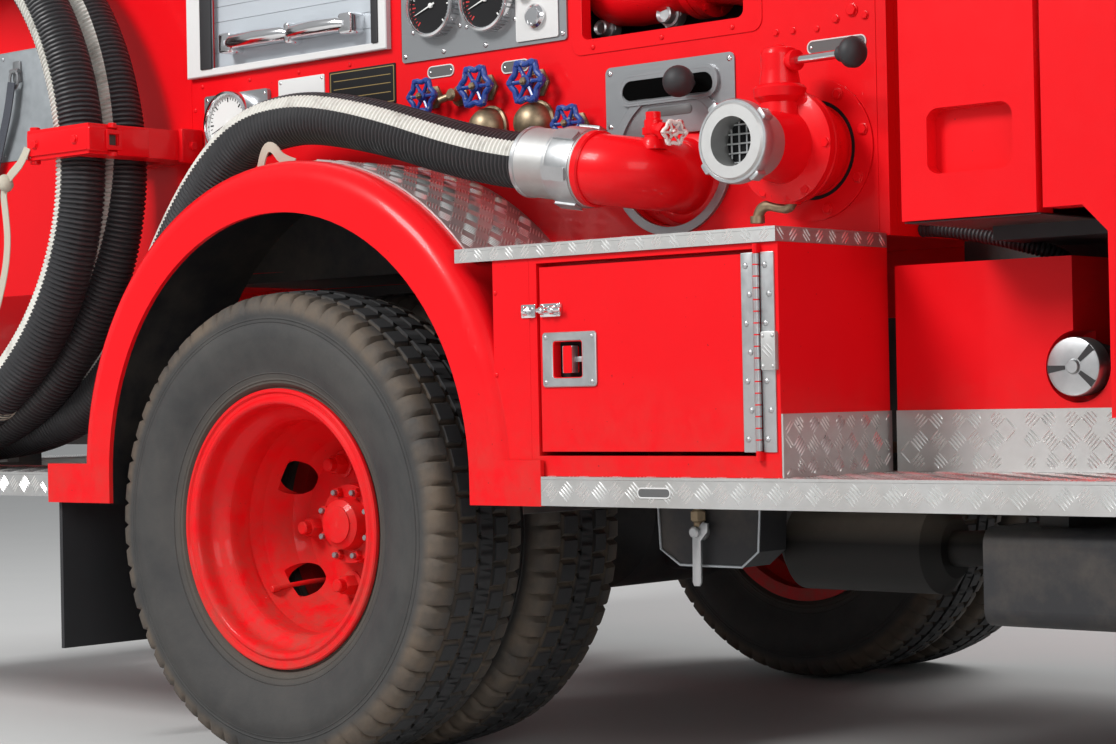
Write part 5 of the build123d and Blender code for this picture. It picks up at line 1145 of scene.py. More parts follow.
gap_ring.mirror().make("inlet_gap_rings", dial_black)
inlet_bolts.mirror().make("inlet_bolts", red)

lever = Form().rod(inlet_hub + axis * 0.03, lever_end, 0.0062, 20)
lever.mirror().make("inlet_levers", chrome)
knob = Form()
knob_place = towards(lever_end - axis * 0.004, axis, (0.3, 0.2, 1))
knob.lathe(knob_place,
    mm((0, 9), (3, 11), (10, 10.5), (16, 16), (21, 20.5), (29, 21.5), (36, 18.5), (41, 11.5), (43, 0)), 32)
knob.mirror().make("inlet_knobs", plastic)

collar = Form()
collar.lathe(on_side(inlet_x, inlet_z, mouth), mm((-24, 49.5), (-22, 55), (-20, 57.5), (-5, 58), (-2.5, 56.5),
    (-2.5, 53.5), (-5, 51.5), (-22, 45)), 64, looped=True)
for k in range(4):
    turn = 35 + 90 * k
    place = on_circle(inlet_x, inlet_z, 0.0555, turn, mouth - 0.013)
    collar.plate(place @ Matrix.Rotation(radians(turn), 4, "Z"),
        rounded(-0.004, 0.0075, -0.0085, 0.0085, 0.003, 3), -0.009, 0.0085, 0.0015)
collar.mirror().make("mouth_collars", alloy)
strainer = Form()
for k in range(-2, 3):
    off = k * 0.013
    reach = sqrt(0.033 ** 2 - off ** 2)
    for out, start, end in ((0.0375, (off, -reach), (off, reach)), (0.0362, (-reach, off), (reach, off))):
        strainer.rod((inlet_x + start[0], -mouth + out, inlet_z + start[1]),
            (inlet_x + end[0], -mouth + out, inlet_z + end[1]), 0.0014, 8)
strainer.mirror().make("inlet_strainers", alloy)
throat = Form()
throat.lathe(on_side(inlet_x, inlet_z, mouth), mm((-39.6, 33.6), (-39, 33.6)), 48)
throat.mirror().make("inlet_throats", dial_black)

# Hose clamps: a hinged bar across the two strands, its knuckle and slotted tongue on the front face, and
# bolts through the foot. A beige webbing strap is tied round the bar's end and the strand below.
webbing = Finish("webbing", (0.46, 0.42, 0.34), 0.85, slot="seat_fabric")
webbing.bump(webbing.cloud(900.0, 2.0), 0.0003, 0.5)
clamp_x = rear_x - 0.435
clamp_face = towards((clamp_x, 0, 0), (1, 0, 0))
clamp = Form()
clamp.plate(clamp_face, rounded(-0.9285, -0.888, 1.0125, 1.0545, 0.004), 0.0, 0.007, 0.002)
clamp.plate(clamp_face, rounded(-0.868, -0.798, 1.0075, 1.0585, 0.004), 0.0, 0.0065, 0.002)
clamp.plate(clamp_face, rounded(-0.728, -0.6795, 1.0035, 1.0635, 0.004), 0.0, 0.01, 0.002)
clamp.frame(clamp_face, rounded(-0.8935, -0.8605, 1.0155, 1.0505, 0.003),
    rounded(-0.8875, -0.8665, 1.0235, 1.0425, 0.002), 0.0, 0.01, 0.001)
for z0, z1 in ((1.005, 1.0125), (1.0535, 1.062)):
    clamp.rod((clamp_x + 0.004, -0.877, z0), (clamp_x + 0.004, -0.877, z1), 0.0075, 18, 0.001)
bar_face = on_side(0, 0, 0.925)
clamp.plate(bar_face, rounded(rear_x - 0.601, clamp_x, 1.0145, 1.0535, 0.003), 0.0, 0.004, 0.001)
clamp.rod((rear_x - 0.597, -0.914, 1.002), (rear_x - 0.597, -0.914, 1.066), 0.009, 18, 0.001)
for x in (-0.578, -0.468):
    clamp.bolt(on_side(rear_x + x, 1.034, 0.929), 0.0075)
clamp.bolt(towards((clamp_x + 0.01, -0.7035, 1.0335), (1, 0, 0)), 0.008)
clamp.mirror().make("clamp_fittings", red)
clamp_slot = Form().plate(clamp_face, rounded(-0.887, -0.867, 1.024, 1.042, 0.002), 0.0, 0.0015)
clamp_slot.mirror().make("clamp_slots", black)


def ribbon(form, points, width, thick=0.0016, facing=(0, -1, 0)):
    rings = []
    for index, point in enumerate(points):
        point = Vector(point)
        along = Vector(points[min(index + 1, len(points) - 1)]) - Vector(points[max(index - 1, 0)])
        face = Vector(facing)
        face = (face - along * face.dot(along) / along.length_squared).normalized()
        across = along.normalized().cross(face)
        rings.append([point + across * width / 2 * a + face * thick / 2 * b
            for a, b in ((-1, -1), (1, -1), (1, 1), (-1, 1))])
    return form.skin(rings)


def hoop(form, centre, axis, reach, width, thick=0.0016, steps=28):
    place = towards(centre, axis, (0.3, 0.2, 1))
    return form.lathe(place, [(-width / 2, reach), (-width / 2, reach + thick), (width / 2, reach + thick),
        (width / 2, reach)], steps, looped=True)


strap = Form()
strap_line = smooth_line(on_flank(mm((-598, -930, 1030), (-606, -936, 1004), (-640, -937, 985),
    (-662, -937, 962), (-655, -936, 915), (-650, -936, 870), (-662, -935, 812), (-700, -934, 730),
    (-752, -931, 640))), 0.012)
ribbon(strap, strap_line, 0.017)
hoop(strap, (rear_x - 0.597, -0.914, 1.02), (0.0, 0.0, 1.0), 0.0095, 0.016)
knot = Vector((rear_x - 0.652, -0.938, 0.972))
strap.lathe(towards(knot, (-0.5, 0.0, 0.85), (0, 1, 0)),
    mm((-15, 6), (-9, 12), (0, 13.5), (9, 12), (15, 6)), 14)
ribbon(strap, [knot + Vector(p) for p in ((0, -0.002, 0), (-0.02, -0.003, 0.004), (-0.045, -0.002, -0.006),
    (-0.066, 0.001, -0.026))], 0.016)
hoop(strap, (rear_x - 0.765, -0.8837, 0.6), (0.86, -0.05, 0.51), 0.044, 0.018)
strap.mirror().make("clamp_straps", webbing, sharp=50)

# Galvanised plate behind the coil, pop-riveted to the panel, with a lashing eye on it and a dark strap that
# hangs from the eye.
galvanised = Finish("galvanised_sheet", (0.4, 0.43, 0.45), 0.42, 0.75, "coupling_aluminium")
spangle = galvanised.cloud(55.0, 3.0)
galvanised.set("Base Color", galvanised.mix(spangle, (0.36, 0.39, 0.41), (0.5, 0.53, 0.55)))
galvanised.set("Roughness", 0.36 + 0.2 * spangle)
sheet = Form().plate(on_side(rear_x, 0), rounded(-1.262, -0.762, 1.052, 1.262, 0.006), 0.0003, 0.002, 0.0005)
sheet.rivets([(x, z) for x in (-1.25, -1.128, -1.006, -0.884, -0.774) for z in (1.064, 1.25)],
    panel_y + 0.002, 0.0045)
sheet.mirror().make("galvanised_plates", galvanised)
eye_form = Form()
eye_place = on_side(rear_x - 0.959, 1.222, panel_y + 0.002)
eye_form.plate(eye_place, rounded(-0.012, 0.012, -0.02, 0.02, 0.004), 0.0, 0.004, 0.001)
ring_line = [eye_place @ Vector((0.013 * cos(2 * pi * k / 20), -0.016 + 0.017 * sin(2 * pi * k / 20), 0.01))
    for k in range(20)]
eye_form.sweep(ring_line, 0.0028, 10, looped=True)
eye_form.rod(eye_place @ Vector((-0.013, 0, 0.008)), eye_place @ Vector((0.013, 0, 0.008)), 0.0048, 12, 0.001)
eye_form.mirror().make("lashing_eyes", steel)
dark_strap = Form()
ribbon(dark_strap, smooth_line(on_flank(mm((-957, -698, 1200), (-965, -700, 1150), (-995, -696, 1090),
    (-1030, -690, 1020), (-1048, -686, 930), (-1052, -685, 850))), 0.014), 0.022, 0.0022)
dark_strap.mirror().make("lashing_straps", cloth, sharp=50)

# Suction coupling and elbow: a lugged nut on the hose's sleeve, a cast elbow bolted inside the steel ring,
# and its air cock with a worn wheel.
hose_axis = Vector((0.195, 0, -0.031)).normalized()
hose_end = Vector((rear_x + 0.46, -0.8, 0.93))
coupling_place = towards(hose_end, hose_axis, (0, 0, 1))
coupling = Form()
coupling.lathe(coupling_place, mm((0, 47.5), (2, 53.5), (8, 53.5), (9, 52.2)), 56)
coupling.lathe(coupling_place, mm((64, 52.2), (66, 54.5), (70, 54.5), (71, 52.2)), 56)
coupling.lathe(coupling_place,
    mm((74.5, 55), (75, 58.3), (79.5, 59), (115, 59), (119.5, 58.3), (120, 55)), 56)
for k in range(6):
    turned = coupling_place @ Matrix.Rotation(radians(60 * k + 12), 4, "Z")
    lug = turned @ Matrix.Translation((0.0585, 0, 0.0775)) @ Matrix.Rotation(radians(90), 4, "Y")
    coupling.plate(lug, [Vector((-x, y)) for x, y in ((0.0, -0.009), (0.039, -0.009), (0.039, 0.009),
        (0.0, 0.009))], 0.0, 0.0042, 0.0012)
coupling.mirror().make("suction_couplings", alloy)

elbow = Form()
recess_x = rear_x + 0.632
flange_out = 0.6645
recess = on_side(recess_x, elbow_z, 0.661)
elbow.lathe(recess, mm((0, 97.5), (3, 97.5), (3.5, 97), (3.5, 0)), 56)
flange = on_side(rear_x + 0.652, 0.901, flange_out)
elbow.lathe(flange, mm((0, 70), (9, 70), (11, 68), (16, 57), (22, 54.5), (40, 52.8)), 48)
for angle in (200, 240, 280, 320, 0, 40, 80, 120, 160):
    elbow.bolt(on_circle(recess_x, elbow_z, 0.0815, angle, flange_out), 0.0068)
elbow.lathe(coupling_place, mm((121, 53.5), (121.5, 56), (133, 56), (135, 53.5)), 48)
cock_foot = Vector((rear_x + 0.676, -0.778, 0.94))
elbow.lathe(towards(cock_foot, (0, 0, 1), (1, 0, 0)),
    mm((-8, 19), (4, 18), (10, 13.5), (34, 13.5), (36, 11), (46, 11)), 24)
elbow.lathe(towards(cock_foot, (0, 0, 1), (1, 0, 0)), mm((14, 16.5), (24, 16.5)), 6)
wheel_axis = Vector((0.88, -0.44, -0.18)).normalized()
wheel_root = cock_foot + Vector((0, 0, 0.022))
elbow.rod(wheel_root, wheel_root + wheel_axis * 0.062, 0.0095, 20, 0.0015)
elbow.lathe(towards(wheel_root + wheel_axis * 0.034, wheel_axis), mm((0, 13.5), (14, 13.5)), 6)
elbow.mirror().make("elbow_fittings", red)
worn_white = Finish("worn_white", (0.66, 0.62, 0.58), 0.5, slot="panel_white")
bare = worn_white.cloud(140.0, 5.0, 0.65).ranged(0.52, 0.6)
worn_white.set("Base Color", worn_white.mix(bare, (0.72, 0.69, 0.65), (0.42, 0.03, 0.03)))
worn_wheel = Form()
hand_wheel(worn_wheel, towards(wheel_root + wheel_axis * 0.058, wheel_axis), 0.018, 0.014)
worn_wheel.mirror().make("elbow_cock_wheels", worn_white)

# Drain under the relay inlet: a brass elbow screwed into a red boss, with hexagons for the spanner, its open
# end turned down and back.
drain_boss = Form().lathe(towards((rear_x + 0.893, -0.742, 0.866), (0, 0, -1), (1, 0, 0)),
    mm((-10, 16), (14, 15), (16, 12), (26, 12)), 20)
drain_boss.lathe(towards((rear_x + 0.893, -0.742, 0.866), (0, 0, -1), (1, 0, 0)),
    mm((12, 15.5), (21, 15.5)), 6)
drain_boss.mirror().make("drain_bosses", red)
drain = Form().sweep(smooth_line(on_flank(mm((893, -742, 846), (888, -742, 834), (868, -740, 838),
    (846, -738, 843), (830, -737, 836), (828, -737, 818))), 0.004), 0.0078, 16)
drain.lathe(towards((rear_x + 0.828, -0.737, 0.828), (0, 0, -1), (1, 0, 0)), mm((0, 10.5), (10, 10.5)), 16)
drain.mirror().make("drain_elbows", brass)

# Pump bay: behind the window in the panel a red delivery manifold, two castings bolted flange to flange with
# two blanked ends, lies in a bay that is black inside. A screwed frame surrounds the window.
def slab(form, x0, x1, y0, y1, z0, z1):
    corners = ((y0, z0), (y1, z0), (y1, z1), (y0, z1))
    return form.skin([[Vector((x, y, z)) for y, z in corners] for x in (x0, x1)])


window_frame = Form()
window_frame.frame(on_side(rear_x, 0), rounded(0.441, 0.801, 1.0998, 1.444, 0.018),
    rounded(0.461, 0.768, 1.123, 1.42, 0.012), 0.0, 0.0018, 0.0005)
window_frame.rivets(((0.483, 1.1105), (0.617, 1.1105), (0.748, 1.1105), (0.785, 1.2), (0.785, 1.33),
    (0.451, 1.2), (0.451, 1.33), (0.483, 1.432), (0.617, 1.432), (0.748, 1.432)), panel_y + 0.0018, 0.0046)
for x, z, size in ((0.9556, 1.1103, 0.0085), (0.9285, 1.1009, 0.0055), (0.9771, 1.1007, 0.0055),
        (0.8246, 1.0931, 0.0048), (0.8544, 1.0926, 0.0048), (0.8958, 1.0906, 0.0042)):
    window_frame.bolt(on_side(rear_x + x, z), size)
window_frame.rivets([(0.5044, z) for z in (0.7298, 0.612, 0.54)], 0.935, 0.0042)
window_frame.rivets(((-0.425, 1.14), (-0.3, 1.14), (-0.175, 1.14), (-0.05, 1.14), (-0.445, 1.1)),
    panel_y, 0.0042)
for x, z0, z1 in ((-0.457, 0.8, 1.154), (0.069, 1.14, 1.842), (0.9905, 0.8, 1.842)):
    slab(window_frame, rear_x + x, rear_x + x + 0.0035, -panel_y - 0.0009, -panel_y, z0, z1)
window_frame.mirror().make("panel_trim", red)

bay = Form()
bay_rear = rear_x + 0.4
bay_front = rear_x + 0.86
for x0, x1, y0, y1, z0, z1 in (
        (bay_rear, bay_front, -0.492, -0.49, 1.09, 1.44), (bay_rear, bay_front, -0.658, -0.49, 1.09, 1.092),
        (bay_rear, bay_front, -0.658, -0.49, 1.438, 1.44),
        (bay_rear, rear_x + 0.402, -0.658, -0.49, 1.09, 1.44),
        (rear_x + 0.858, bay_front, -0.658, -0.49, 1.09, 1.44),
        # under the step, under the cab and over the wheels, where daylight would show through: black sheets
        # that are partly black paint and partly painted shade in these hollows
        (rear_x + 1.02, rear_x + 1.7, -0.502, -0.5, 0.47, 0.79),
        (rear_x + 1.142, rear_x + 1.34, -0.844, -0.3, 0.7935, 0.795),
        (rear_x - 0.48, rear_x + 0.56, -0.678, -0.36, 0.7905, 0.7925)):
    slab(bay, x0, x1, y0, y1, z0, z1)
# the inside of the wheel house follows the arch; its black is partly black paint and partly painted shade
house_radius = 0.4845
house_foot = arch_middle.z - 0.05
house_line = [Vector((arch_middle.x + house_radius, house_foot))]
house_line += [Vector((arch_middle.x + house_radius * cos(radians(a)),
    arch_middle.z + house_radius * sin(radians(a)))) for a in range(0, 181, 5)]
house_line += [Vector((arch_middle.x - house_radius, house_foot))]
house_section = ((-0.6803, 0), (-0.9085, 0), (-0.9085, 1), (-0.6803, 1))
bay.skin([[Vector((p.x + (arch_middle.x - p.x) * s * 0.003, y, p.y - s * 0.001)) for y, s in house_section]
    for p in house_line])
# the plate on the body side inside the arch and the strips under the deck: black, partly black paint and
# partly painted shade
bay.plate(on_side(0, 0, 0.6796),
    [Vector((arch_middle.x + 0.483 * cos(radians(a)), arch_middle.z + 0.483 * sin(radians(a))))
    for a in range(43, 138, 4)], 0.0, 0.001)
slab(bay, rear_x - 0.48, rear_x + 0.56, -0.353, -0.3505, 0.66, 0.79)
slab(bay, rear_x - 0.43, rear_x + 0.516, -0.6812, -0.6788, 0.7855, 0.802)
bay.mirror().make("black_and_painted_shade_liners", black)

manifold = Form()
run_y = -0.588
run = towards((rear_x + 0.425, run_y, 1.213), (1, 0, 0))
manifold.lathe(run, mm((0, 0), (0, 32), (6, 47), (30, 58), (75, 63), (125, 62), (170, 54), (190, 50),
    (191, 66), (204, 66), (204.5, 64), (206.5, 64), (207, 66), (220, 66), (221, 48), (245, 50), (285, 58),
    (330, 58), (375, 48), (400, 30), (400, 0)), 40)
for k in range(8):
    angle = radians(22 + 45 * k)
    for along in (0.191, 0.22):
        place = run @ Matrix.Translation((*polar(0.058, angle), along))
        manifold.bolt(place @ Matrix.Rotation(pi if along < 0.2 else 0.0, 4, "X"), 0.0062, washer=False)
for x, z, radius in ((0.505, 1.262, 0.044), (0.705, 1.262, 0.038)):
    manifold.lathe(Matrix.Translation((rear_x + x, run_y, z)), [(-0.03, radius), (0.05, radius * 0.92),
        (0.06, radius * 1.3), (0.074, radius * 1.3), (0.075, radius), (0.16, radius)], 32)
manifold.mirror().make("delivery_manifold", red)
blanks = Form()
for x, z, radius in ((0.446, 1.15, 0.0125), (0.572, 1.157, 0.0145)):
    place = on_side(rear_x + x, z, 0.585)
    blanks.lathe(place, [(0, radius * 1.25), (0.02, radius * 1.25), (0.021, radius), (0.034, radius),
        (0.036, radius * 0.85), (0.032, radius * 0.6), (0.032, 0)], 28)
    blanks.lathe(place, [(0.004, radius * 1.42), (0.016, radius * 1.42)], 6)
blanks.mirror().make("manifold_blanks", alloy)

# Roller shutters: anodised slats with fine joints in a pale frame, a rubber seal on each jamb, and a chrome
# lift bar with capped ends. The wide one at the back has its own bar.
slat_finish = Finish("anodised_slats", (0.52, 0.56, 0.6), 0.42, 0.35, "shutter_grey", specular_ior_level=0.4)
slat_finish.set("Roughness", 0.34 + 0.2 * slat_finish.cloud(18.0, 5.0, 0.6, (0.2, 1.0, 6.0)))
slat_pitch = 0.0268
slat_height = 0.0257
slats = Form()
slat_low = 1.1695
while slat_low < 1.735:
    slab(slats, rear_x - 0.3935, rear_x + 0.0255, -0.6768, -0.6745, slat_low, slat_low + slat_height)
    slat_low += slat_pitch
slats.mirror()
slat_low = 0.884
while slat_low < 1.72:
    slab(slats, -2.6475, -2.6445, -0.487, 0.487, slat_low, slat_low + slat_height)
    slat_low += slat_pitch
slats.make("shutter_slats", slat_finish)
shutter_frame = Form()
shutter_frame.frame(on_side(rear_x, 0), rounded(-0.4525, 0.0475, 1.1555, 1.7895, 0.003),
    rounded(-0.3945, 0.0265, 1.1675, 1.7505, 0.001), 0.009, 0.0118, 0.0012)
shutter_frame.mirror().make("shutter_frames", panel_white)
seals = Form()
for x0, x1 in ((-0.414, -0.385), (0.015, 0.03)):
    seals.plate(on_side(rear_x, 0), rounded(x0, x1, 1.167, 1.751, 0.002), 0.01, 0.0145, 0.001)
seals.mirror().make("shutter_seals", plastic)
lift = Form()
for x0, x1 in ((-0.326, -0.176), (-0.172, -0.038)):
    lift.sweep([(rear_x + x0, -0.701, 1.204), (rear_x + x0 + 0.012, -0.7035, 1.2055),
        (rear_x + (x0 + x1) / 2, -0.7055, 1.2065), (rear_x + x1 - 0.012, -0.7035, 1.2055),
        (rear_x + x1, -0.701, 1.204)], [0.0095, 0.0125, 0.013, 0.0125, 0.0095], 18)
for x in (-0.332, -0.174, -0.032):
    wide = 0.0155 if x != -0.174 else 0.007
    lift.plate(on_side(rear_x + x, 1.205), rounded(-wide, wide, -0.0175, 0.0175, 0.006), -0.0035, 0.03, 0.004)
lift.mirror()
lift.sweep([(-2.668, -0.26, 0.925), (-2.671, -0.24, 0.927), (-2.672, 0.0, 0.928), (-2.671, 0.24, 0.927),
    (-2.668, 0.26, 0.925)], [0.01, 0.0125, 0.013, 0.0125, 0.01], 18)
for y in (-0.27, 0.27):
    lift.plate(towards((-2.6475, y, 0.925), (-1, 0, 0)),
        rounded(-0.016, 0.016, -0.018, 0.018, 0.006), 0.0, 0.031, 0.004)
lift.make("shutter_lift_bars", chrome)

# Rest for the suction hose: a wide band of beige webbing where the hose lies on the wheel arch, with a tied
# end that sticks up beside it.
rest_pad = Form()
ribbon(rest_pad, [(arch_middle.x + 0.4965 * cos(radians(a)), -0.815, arch_middle.z + 0.4965 * sin(radians(a)))
    for a in range(84, 122, 3)], 0.115, 0.002, (0, 0, 1))
ribbon(rest_pad, smooth_line(on_flank(mm((-62, -872, 951), (-48, -880, 972), (-30, -884, 990),
    (-12, -884, 983), (-4, -880, 966), (20, -872, 958))), 0.006), 0.016, 0.0024)
rest_pad.mirror().make("hose_rest_pads", webbing, sharp=50)

# Drain tray under the step: a pressed box edged with wire, with a brass drain valve and its flat cranked
# lever on the front.
tray_edge = Form()
tray_edge.sweep([(rear_x + x, -0.8315, z) for x, z in ((0.713, 0.44), (0.7175, 0.362), (0.7515, 0.3405),
    (0.8595, 0.3405), (0.8875, 0.362), (0.8925, 0.44))], 0.0018, 8)
tray_edge.make("tray_edge", galvanised)
lever_axis = on_side(rear_x + 0.7905, 0.388, 0.83)
lever_line = [Vector(p) for p in ((-0.007, -0.07), (-0.0045, -0.075), (0.0045, -0.075), (0.0075, -0.07),
    (0.0085, -0.012), (0.02, 0.000), (0.021, 0.012), (0.012, 0.014), (0.004, 0.006), (-0.006, -0.004))]
drain_lever = Form().lathe(lever_axis, mm((0, 13), (6, 13), (8, 8), (20, 8), (22, 6)), 20)
drain_lever.plate(lever_axis, lever_line, 0.012, 0.0155, 0.0008)
drain_lever.make("drain_lever", alloy)
drain_valve = Form().lathe(Matrix.Translation((rear_x + 0.7905, -0.838, 0.395)),
    mm((-12, 7), (6, 7), (8, 9.5), (22, 9.5), (24, 7), (34, 7)), 18)
drain_valve.lathe(Matrix.Translation((rear_x + 0.7905, -0.838, 0.395)), mm((9, 11.5), (21, 11.5)), 6)
drain_valve.make("drain_valve", brass)

# Fuel filler: a cast cap with three deep radial grooves and a lock in its middle, in its notch, and the
# lapped panel that the notch is cut in.
cap_x = 1.297
cap_z = 0.605
cap_place = on_side(rear_x + cap_x, cap_z, 0.655)
cap = Form().lathe(cap_place,
    mm((10, 38.5), (36, 38.8), (38.5, 37.5), (39.5, 35), (38.8, 10), (40.5, 9.5), (42.5, 8), (42.5, 0)), 48)
cap.make("fuel_cap", alloy)
grooves = Form()
for angle in (185, 42, -38):
    turned = cap_place @ Matrix.Rotation(radians(angle), 4, "Z")
    grooves.plate(turned, [Vector(p) for p in ((0.012, -0.0026), (0.037, -0.0052), (0.037, 0.0052),
        (0.012, 0.0026))], 0.036, 0.0399)
grooves.lathe(cap_place, mm((0, 36.8), (12, 36.8)), 40)
grooves.make("fuel_cap_grooves", plastic)
lap = Form()
notch = [Vector((cap_x + 0.0472 * cos(radians(a)), cap_z + 0.0472 * sin(radians(a))))
    for a in range(-6, -175, -8)]
lap.plate(on_side(rear_x, 0), [Vector((1.213, 0.468)), Vector((1.5995, 0.468)), Vector((1.5995, 0.6))] + notch
    + [Vector((1.213, 0.6))], 0.0, 0.0016)
lap.make("filler_panel", red)

# Corrugated conduit: a ribbed black tube that carries the wiring across the gap between the body and the cab,
# two raised rings and a sunk one in turn along its whole length.
conduit = Form()
conduit_line = smooth_line(on_flank(mm((1011, -600, 803.5), (1045, -601, 801.5), (1090, -602, 794),
    (1140, -602, 783), (1180, -598, 771), (1210, -585, 762), (1228, -560, 745), (1235, -545, 700))), 0.0021)
conduit.sweep(conduit_line, [0.0108 if k % 3 else 0.0086 for k in range(len(conduit_line))], 12)
conduit.mirror().make("wiring_conduits", plastic)

# Cab front: rubber round the windscreen, parked wipers, a chrome frame and fine bars on the grille, sealed
# beam headlamps, amber indicators and a blank number plate.
nose_x = 2.755
screen_lean = atan2(0.355, 0.895)
lamp_z = 0.635
lamp_ys = (0.523, 0.617)


def softened(points, radius, steps=5):
    # an outline with its corners rounded off
    result = []
    for before, point, after in zip(points[-1:] + points[:-1], points, points[1:] + points[:1]):
        start = point + (before - point).normalized() * radius
        end = point + (after - point).normalized() * radius
        for i in range(steps + 1):
            share = i / steps
            result.append(start * (1 - share) ** 2 + point * 2 * share * (1 - share) + end * share ** 2)
    return result


def on_nose(y, z, out=0.0):
    return towards((nose_x + out, y, z), (1, 0, 0))


def on_back(y, z, x):
    return towards((x, y, z), (-1, 0, 0))


screen = towards((2.705 - 0.06 * tan(screen_lean), 0, 1.25), (cos(screen_lean), 0, sin(screen_lean)))
screen_line = softened([Vector(p) for p in ((-0.705, 0), (0.705, 0), (0.66, 0.7585), (-0.66, 0.7585))], 0.06)
seal = Form()
seal.frame(screen, inset(screen_line, -0.012), inset(screen_line, 0.012), -0.018, 0.003, 0.002)
for y in (-0.5, 0.05):
    seal.lathe(screen @ Matrix.Translation((y, -0.03, 0)), mm((-6, 18), (12, 16), (18, 9)), 20)
    seal.sweep([screen @ Vector(p) for p in ((y, -0.03, 0.012), (y + 0.06, -0.006, 0.014),
        (y + 0.26, 0.058, -0.002))], [0.007, 0.006, 0.004], 10)
    blade = screen @ Matrix.Translation((y + 0.26, 0.058, 0)) @ Matrix.Rotation(radians(3), 4, "Z")
    seal.plate(blade, rounded(-0.27, 0.27, -0.0035, 0.0035, 0.002), -0.0138, -0.001)
opening = rounded(-0.52, 0.52, 1.33, 1.86, 0.06)
seal.frame(on_back(0, 0, 0.065), inset(opening, -0.012), inset(opening, 0.012), -0.016, 0.003, 0.002)
seal.make("screen_seals_and_wipers", plastic)

nose_trim = Form()
nose_trim.frame(on_nose(0, 0), rounded(-0.58, 0.58, 0.682, 1.003, 0.05),
    rounded(-0.556, 0.556, 0.704, 0.981, 0.034), -0.022, 0.0165, 0.006)
for side in (-1, 1):
    for y in lamp_ys:
        place = on_nose(side * y, lamp_z, 0.015)
        nose_trim.lathe(place, mm((-2, 43.5), (2, 43.5), (4.6, 41.5), (3, 38.5), (-2, 38.5)), 40, True)
    nose_trim.frame(on_nose(side * 0.57, lamp_z, 0.015), rounded(-0.11, 0.11, -0.052, 0.052, 0.02),
        rounded(-0.096, 0.096, -0.0438, 0.0438, 0.012), -0.024, 0.0025, 0.0015)
nose_trim.make("nose_chrome", chrome)
grille_bars = Form()
for k in range(35):
    y = -0.51 + 0.03 * k
    slab(grille_bars, nose_x - 0.004, nose_x + 0.0052, y - 0.0025, y + 0.0025, 0.722, 0.962)
grille_bars.make("grille_mesh", plastic)
beams = Form()
ambers = Form()
amber = Finish("lens_amber", (0.8, 0.24, 0.01), 0.08, slot="lamp_glass", coat_weight=0.6)
for side in (-1, 1):
    for y in lamp_ys:
        beams.lathe(on_nose(side * y, lamp_z, 0.015),
            mm((-1, 38.5), (0.5, 38.5), (2.8, 26), (3.8, 12), (4, 0)), 40)
    for k in range(9):
        y = -0.0925 + 0.0206 * k
        ambers.plate(on_nose(side * 0.55, 0.4375, 0.0135),
            rounded(y, y + 0.0192, -0.034, 0.034, 0.004), -0.001, 0.0028, 0.0012)
    ambers.plate(towards((2.56, side * 0.8475, 0.985), (0, side, 0)),
        rounded(-0.045, 0.045, -0.022, 0.022, 0.016), -0.004, 0.0135, 0.006)
beams.make("headlamp_lenses", lens_clear)
ambers.make("indicator_lenses", amber)
number_plates = Form()
for place, low in ((on_nose(0.0, 0.6265, 0.0), -0.012), (on_back(-0.3, 0.78, -2.6352), 0.0)):
    line = rounded(-0.145, 0.145, -0.064, 0.064, 0.008)
    number_plates.plate(place, line, low, 0.0045, 0.0006)
    number_plates.frame(place, line, inset(line, 0.006), 0.004, 0.0062, 0.0006)
number_plates.make("number_plates", panel_white)

# Cab sides: a drip rail over the doors and a moulding at the waist. Each door carries its window rubber, a
# chrome pull with its lock, and the screws of its hinges.
cab_y = 0.8475
waist_z = 1.16
side_lean = 0.0576


def flank(x, z, out=0.0):
    # on the cab's side, which leans in above the waist
    lean = side_lean if z > waist_z else 0.0
    return towards((x, -cab_y + max(z - waist_z, 0.0) * side_lean - out, z), (0, -1, lean))


drips = Form()
drip_line = ((0.1, 1.972), (0.8, 1.976), (1.6, 1.976), (2.235, 1.972))
drips.sweep([(x, -0.8035, z) for x, z in drip_line], 0.008, 10)
for x0, x1 in ((0.07, 0.262), (1.167, 1.195), (2.449, 2.58)):
    drips.rod((x0, -cab_y, waist_z), (x1, -cab_y, waist_z), 0.005, 10, 0.001)
drips.mirror().make("drip_rails", red)
window_low = 1.235
window_high = 1.885
doors = (
    # door, its pull, its hinges' x and heights, its window's lower and upper corners
    ("rear", 0.406, 1.1625, (0.64, 1.105), (0.349, 1.08), (1.08, 0.349)),
    ("front", 1.339, 2.4445, (0.945, 1.105), (1.282, 2.356), (2.206, 1.282)),
)
for place, handle_x, hinge_at, heights, lower, upper in doors:
    corners = [(x, window_low) for x in lower] + [(x, window_high) for x in upper]
    window = softened([Vector(p) for p in corners], 0.045)
    rubber = Form()
    rubber.sweep([flank(p.x, p.y, -0.001).translation for p in inset(window, 0.001)], 0.0055, 8, looped=True)
    x0, x1 = lower[0] - 0.078 + 0.012, lower[1] + 0.03
    rubber.rod(flank(x0 + 0.04, 1.219, -0.002).translation,
        flank(x1, 1.219, -0.002).translation, 0.006, 8, 0.001)
    pull = Form()
    pull.sweep([flank(handle_x + x, 1.12, out).translation for x, out in ((-0.066, -0.002), (-0.06, 0.006),
        (-0.045, 0.01), (0.045, 0.01), (0.06, 0.006), (0.066, -0.002))], [0.007, 0.009, 0.0095, 0.0095, 0.009,
        0.007], 14)
    pull.frame(flank(handle_x, 1.12), rounded(-0.087, 0.087, -0.037, 0.037, 0.018),
        rounded(-0.0745, 0.0745, -0.0255, 0.0255, 0.012), 0.0, 0.0022, 0.001)
    pull.lathe(flank(handle_x + 0.103, 1.12), mm((0, 11), (3, 11), (4.5, 9), (4.5, 0)), 20)
    for z in heights:
        for dz in (-0.012, 0.012):
            for dx in (-0.028, -0.014):
                pull.rivet(flank(hinge_at + dx, z + dz, 0.002), 0.0032)
    rubber.pair(f"window_rubber_{place}", plastic, f"door_{place}_{{}}")
    pull.pair(f"door_pull_{place}", chrome, f"door_{place}_{{}}")

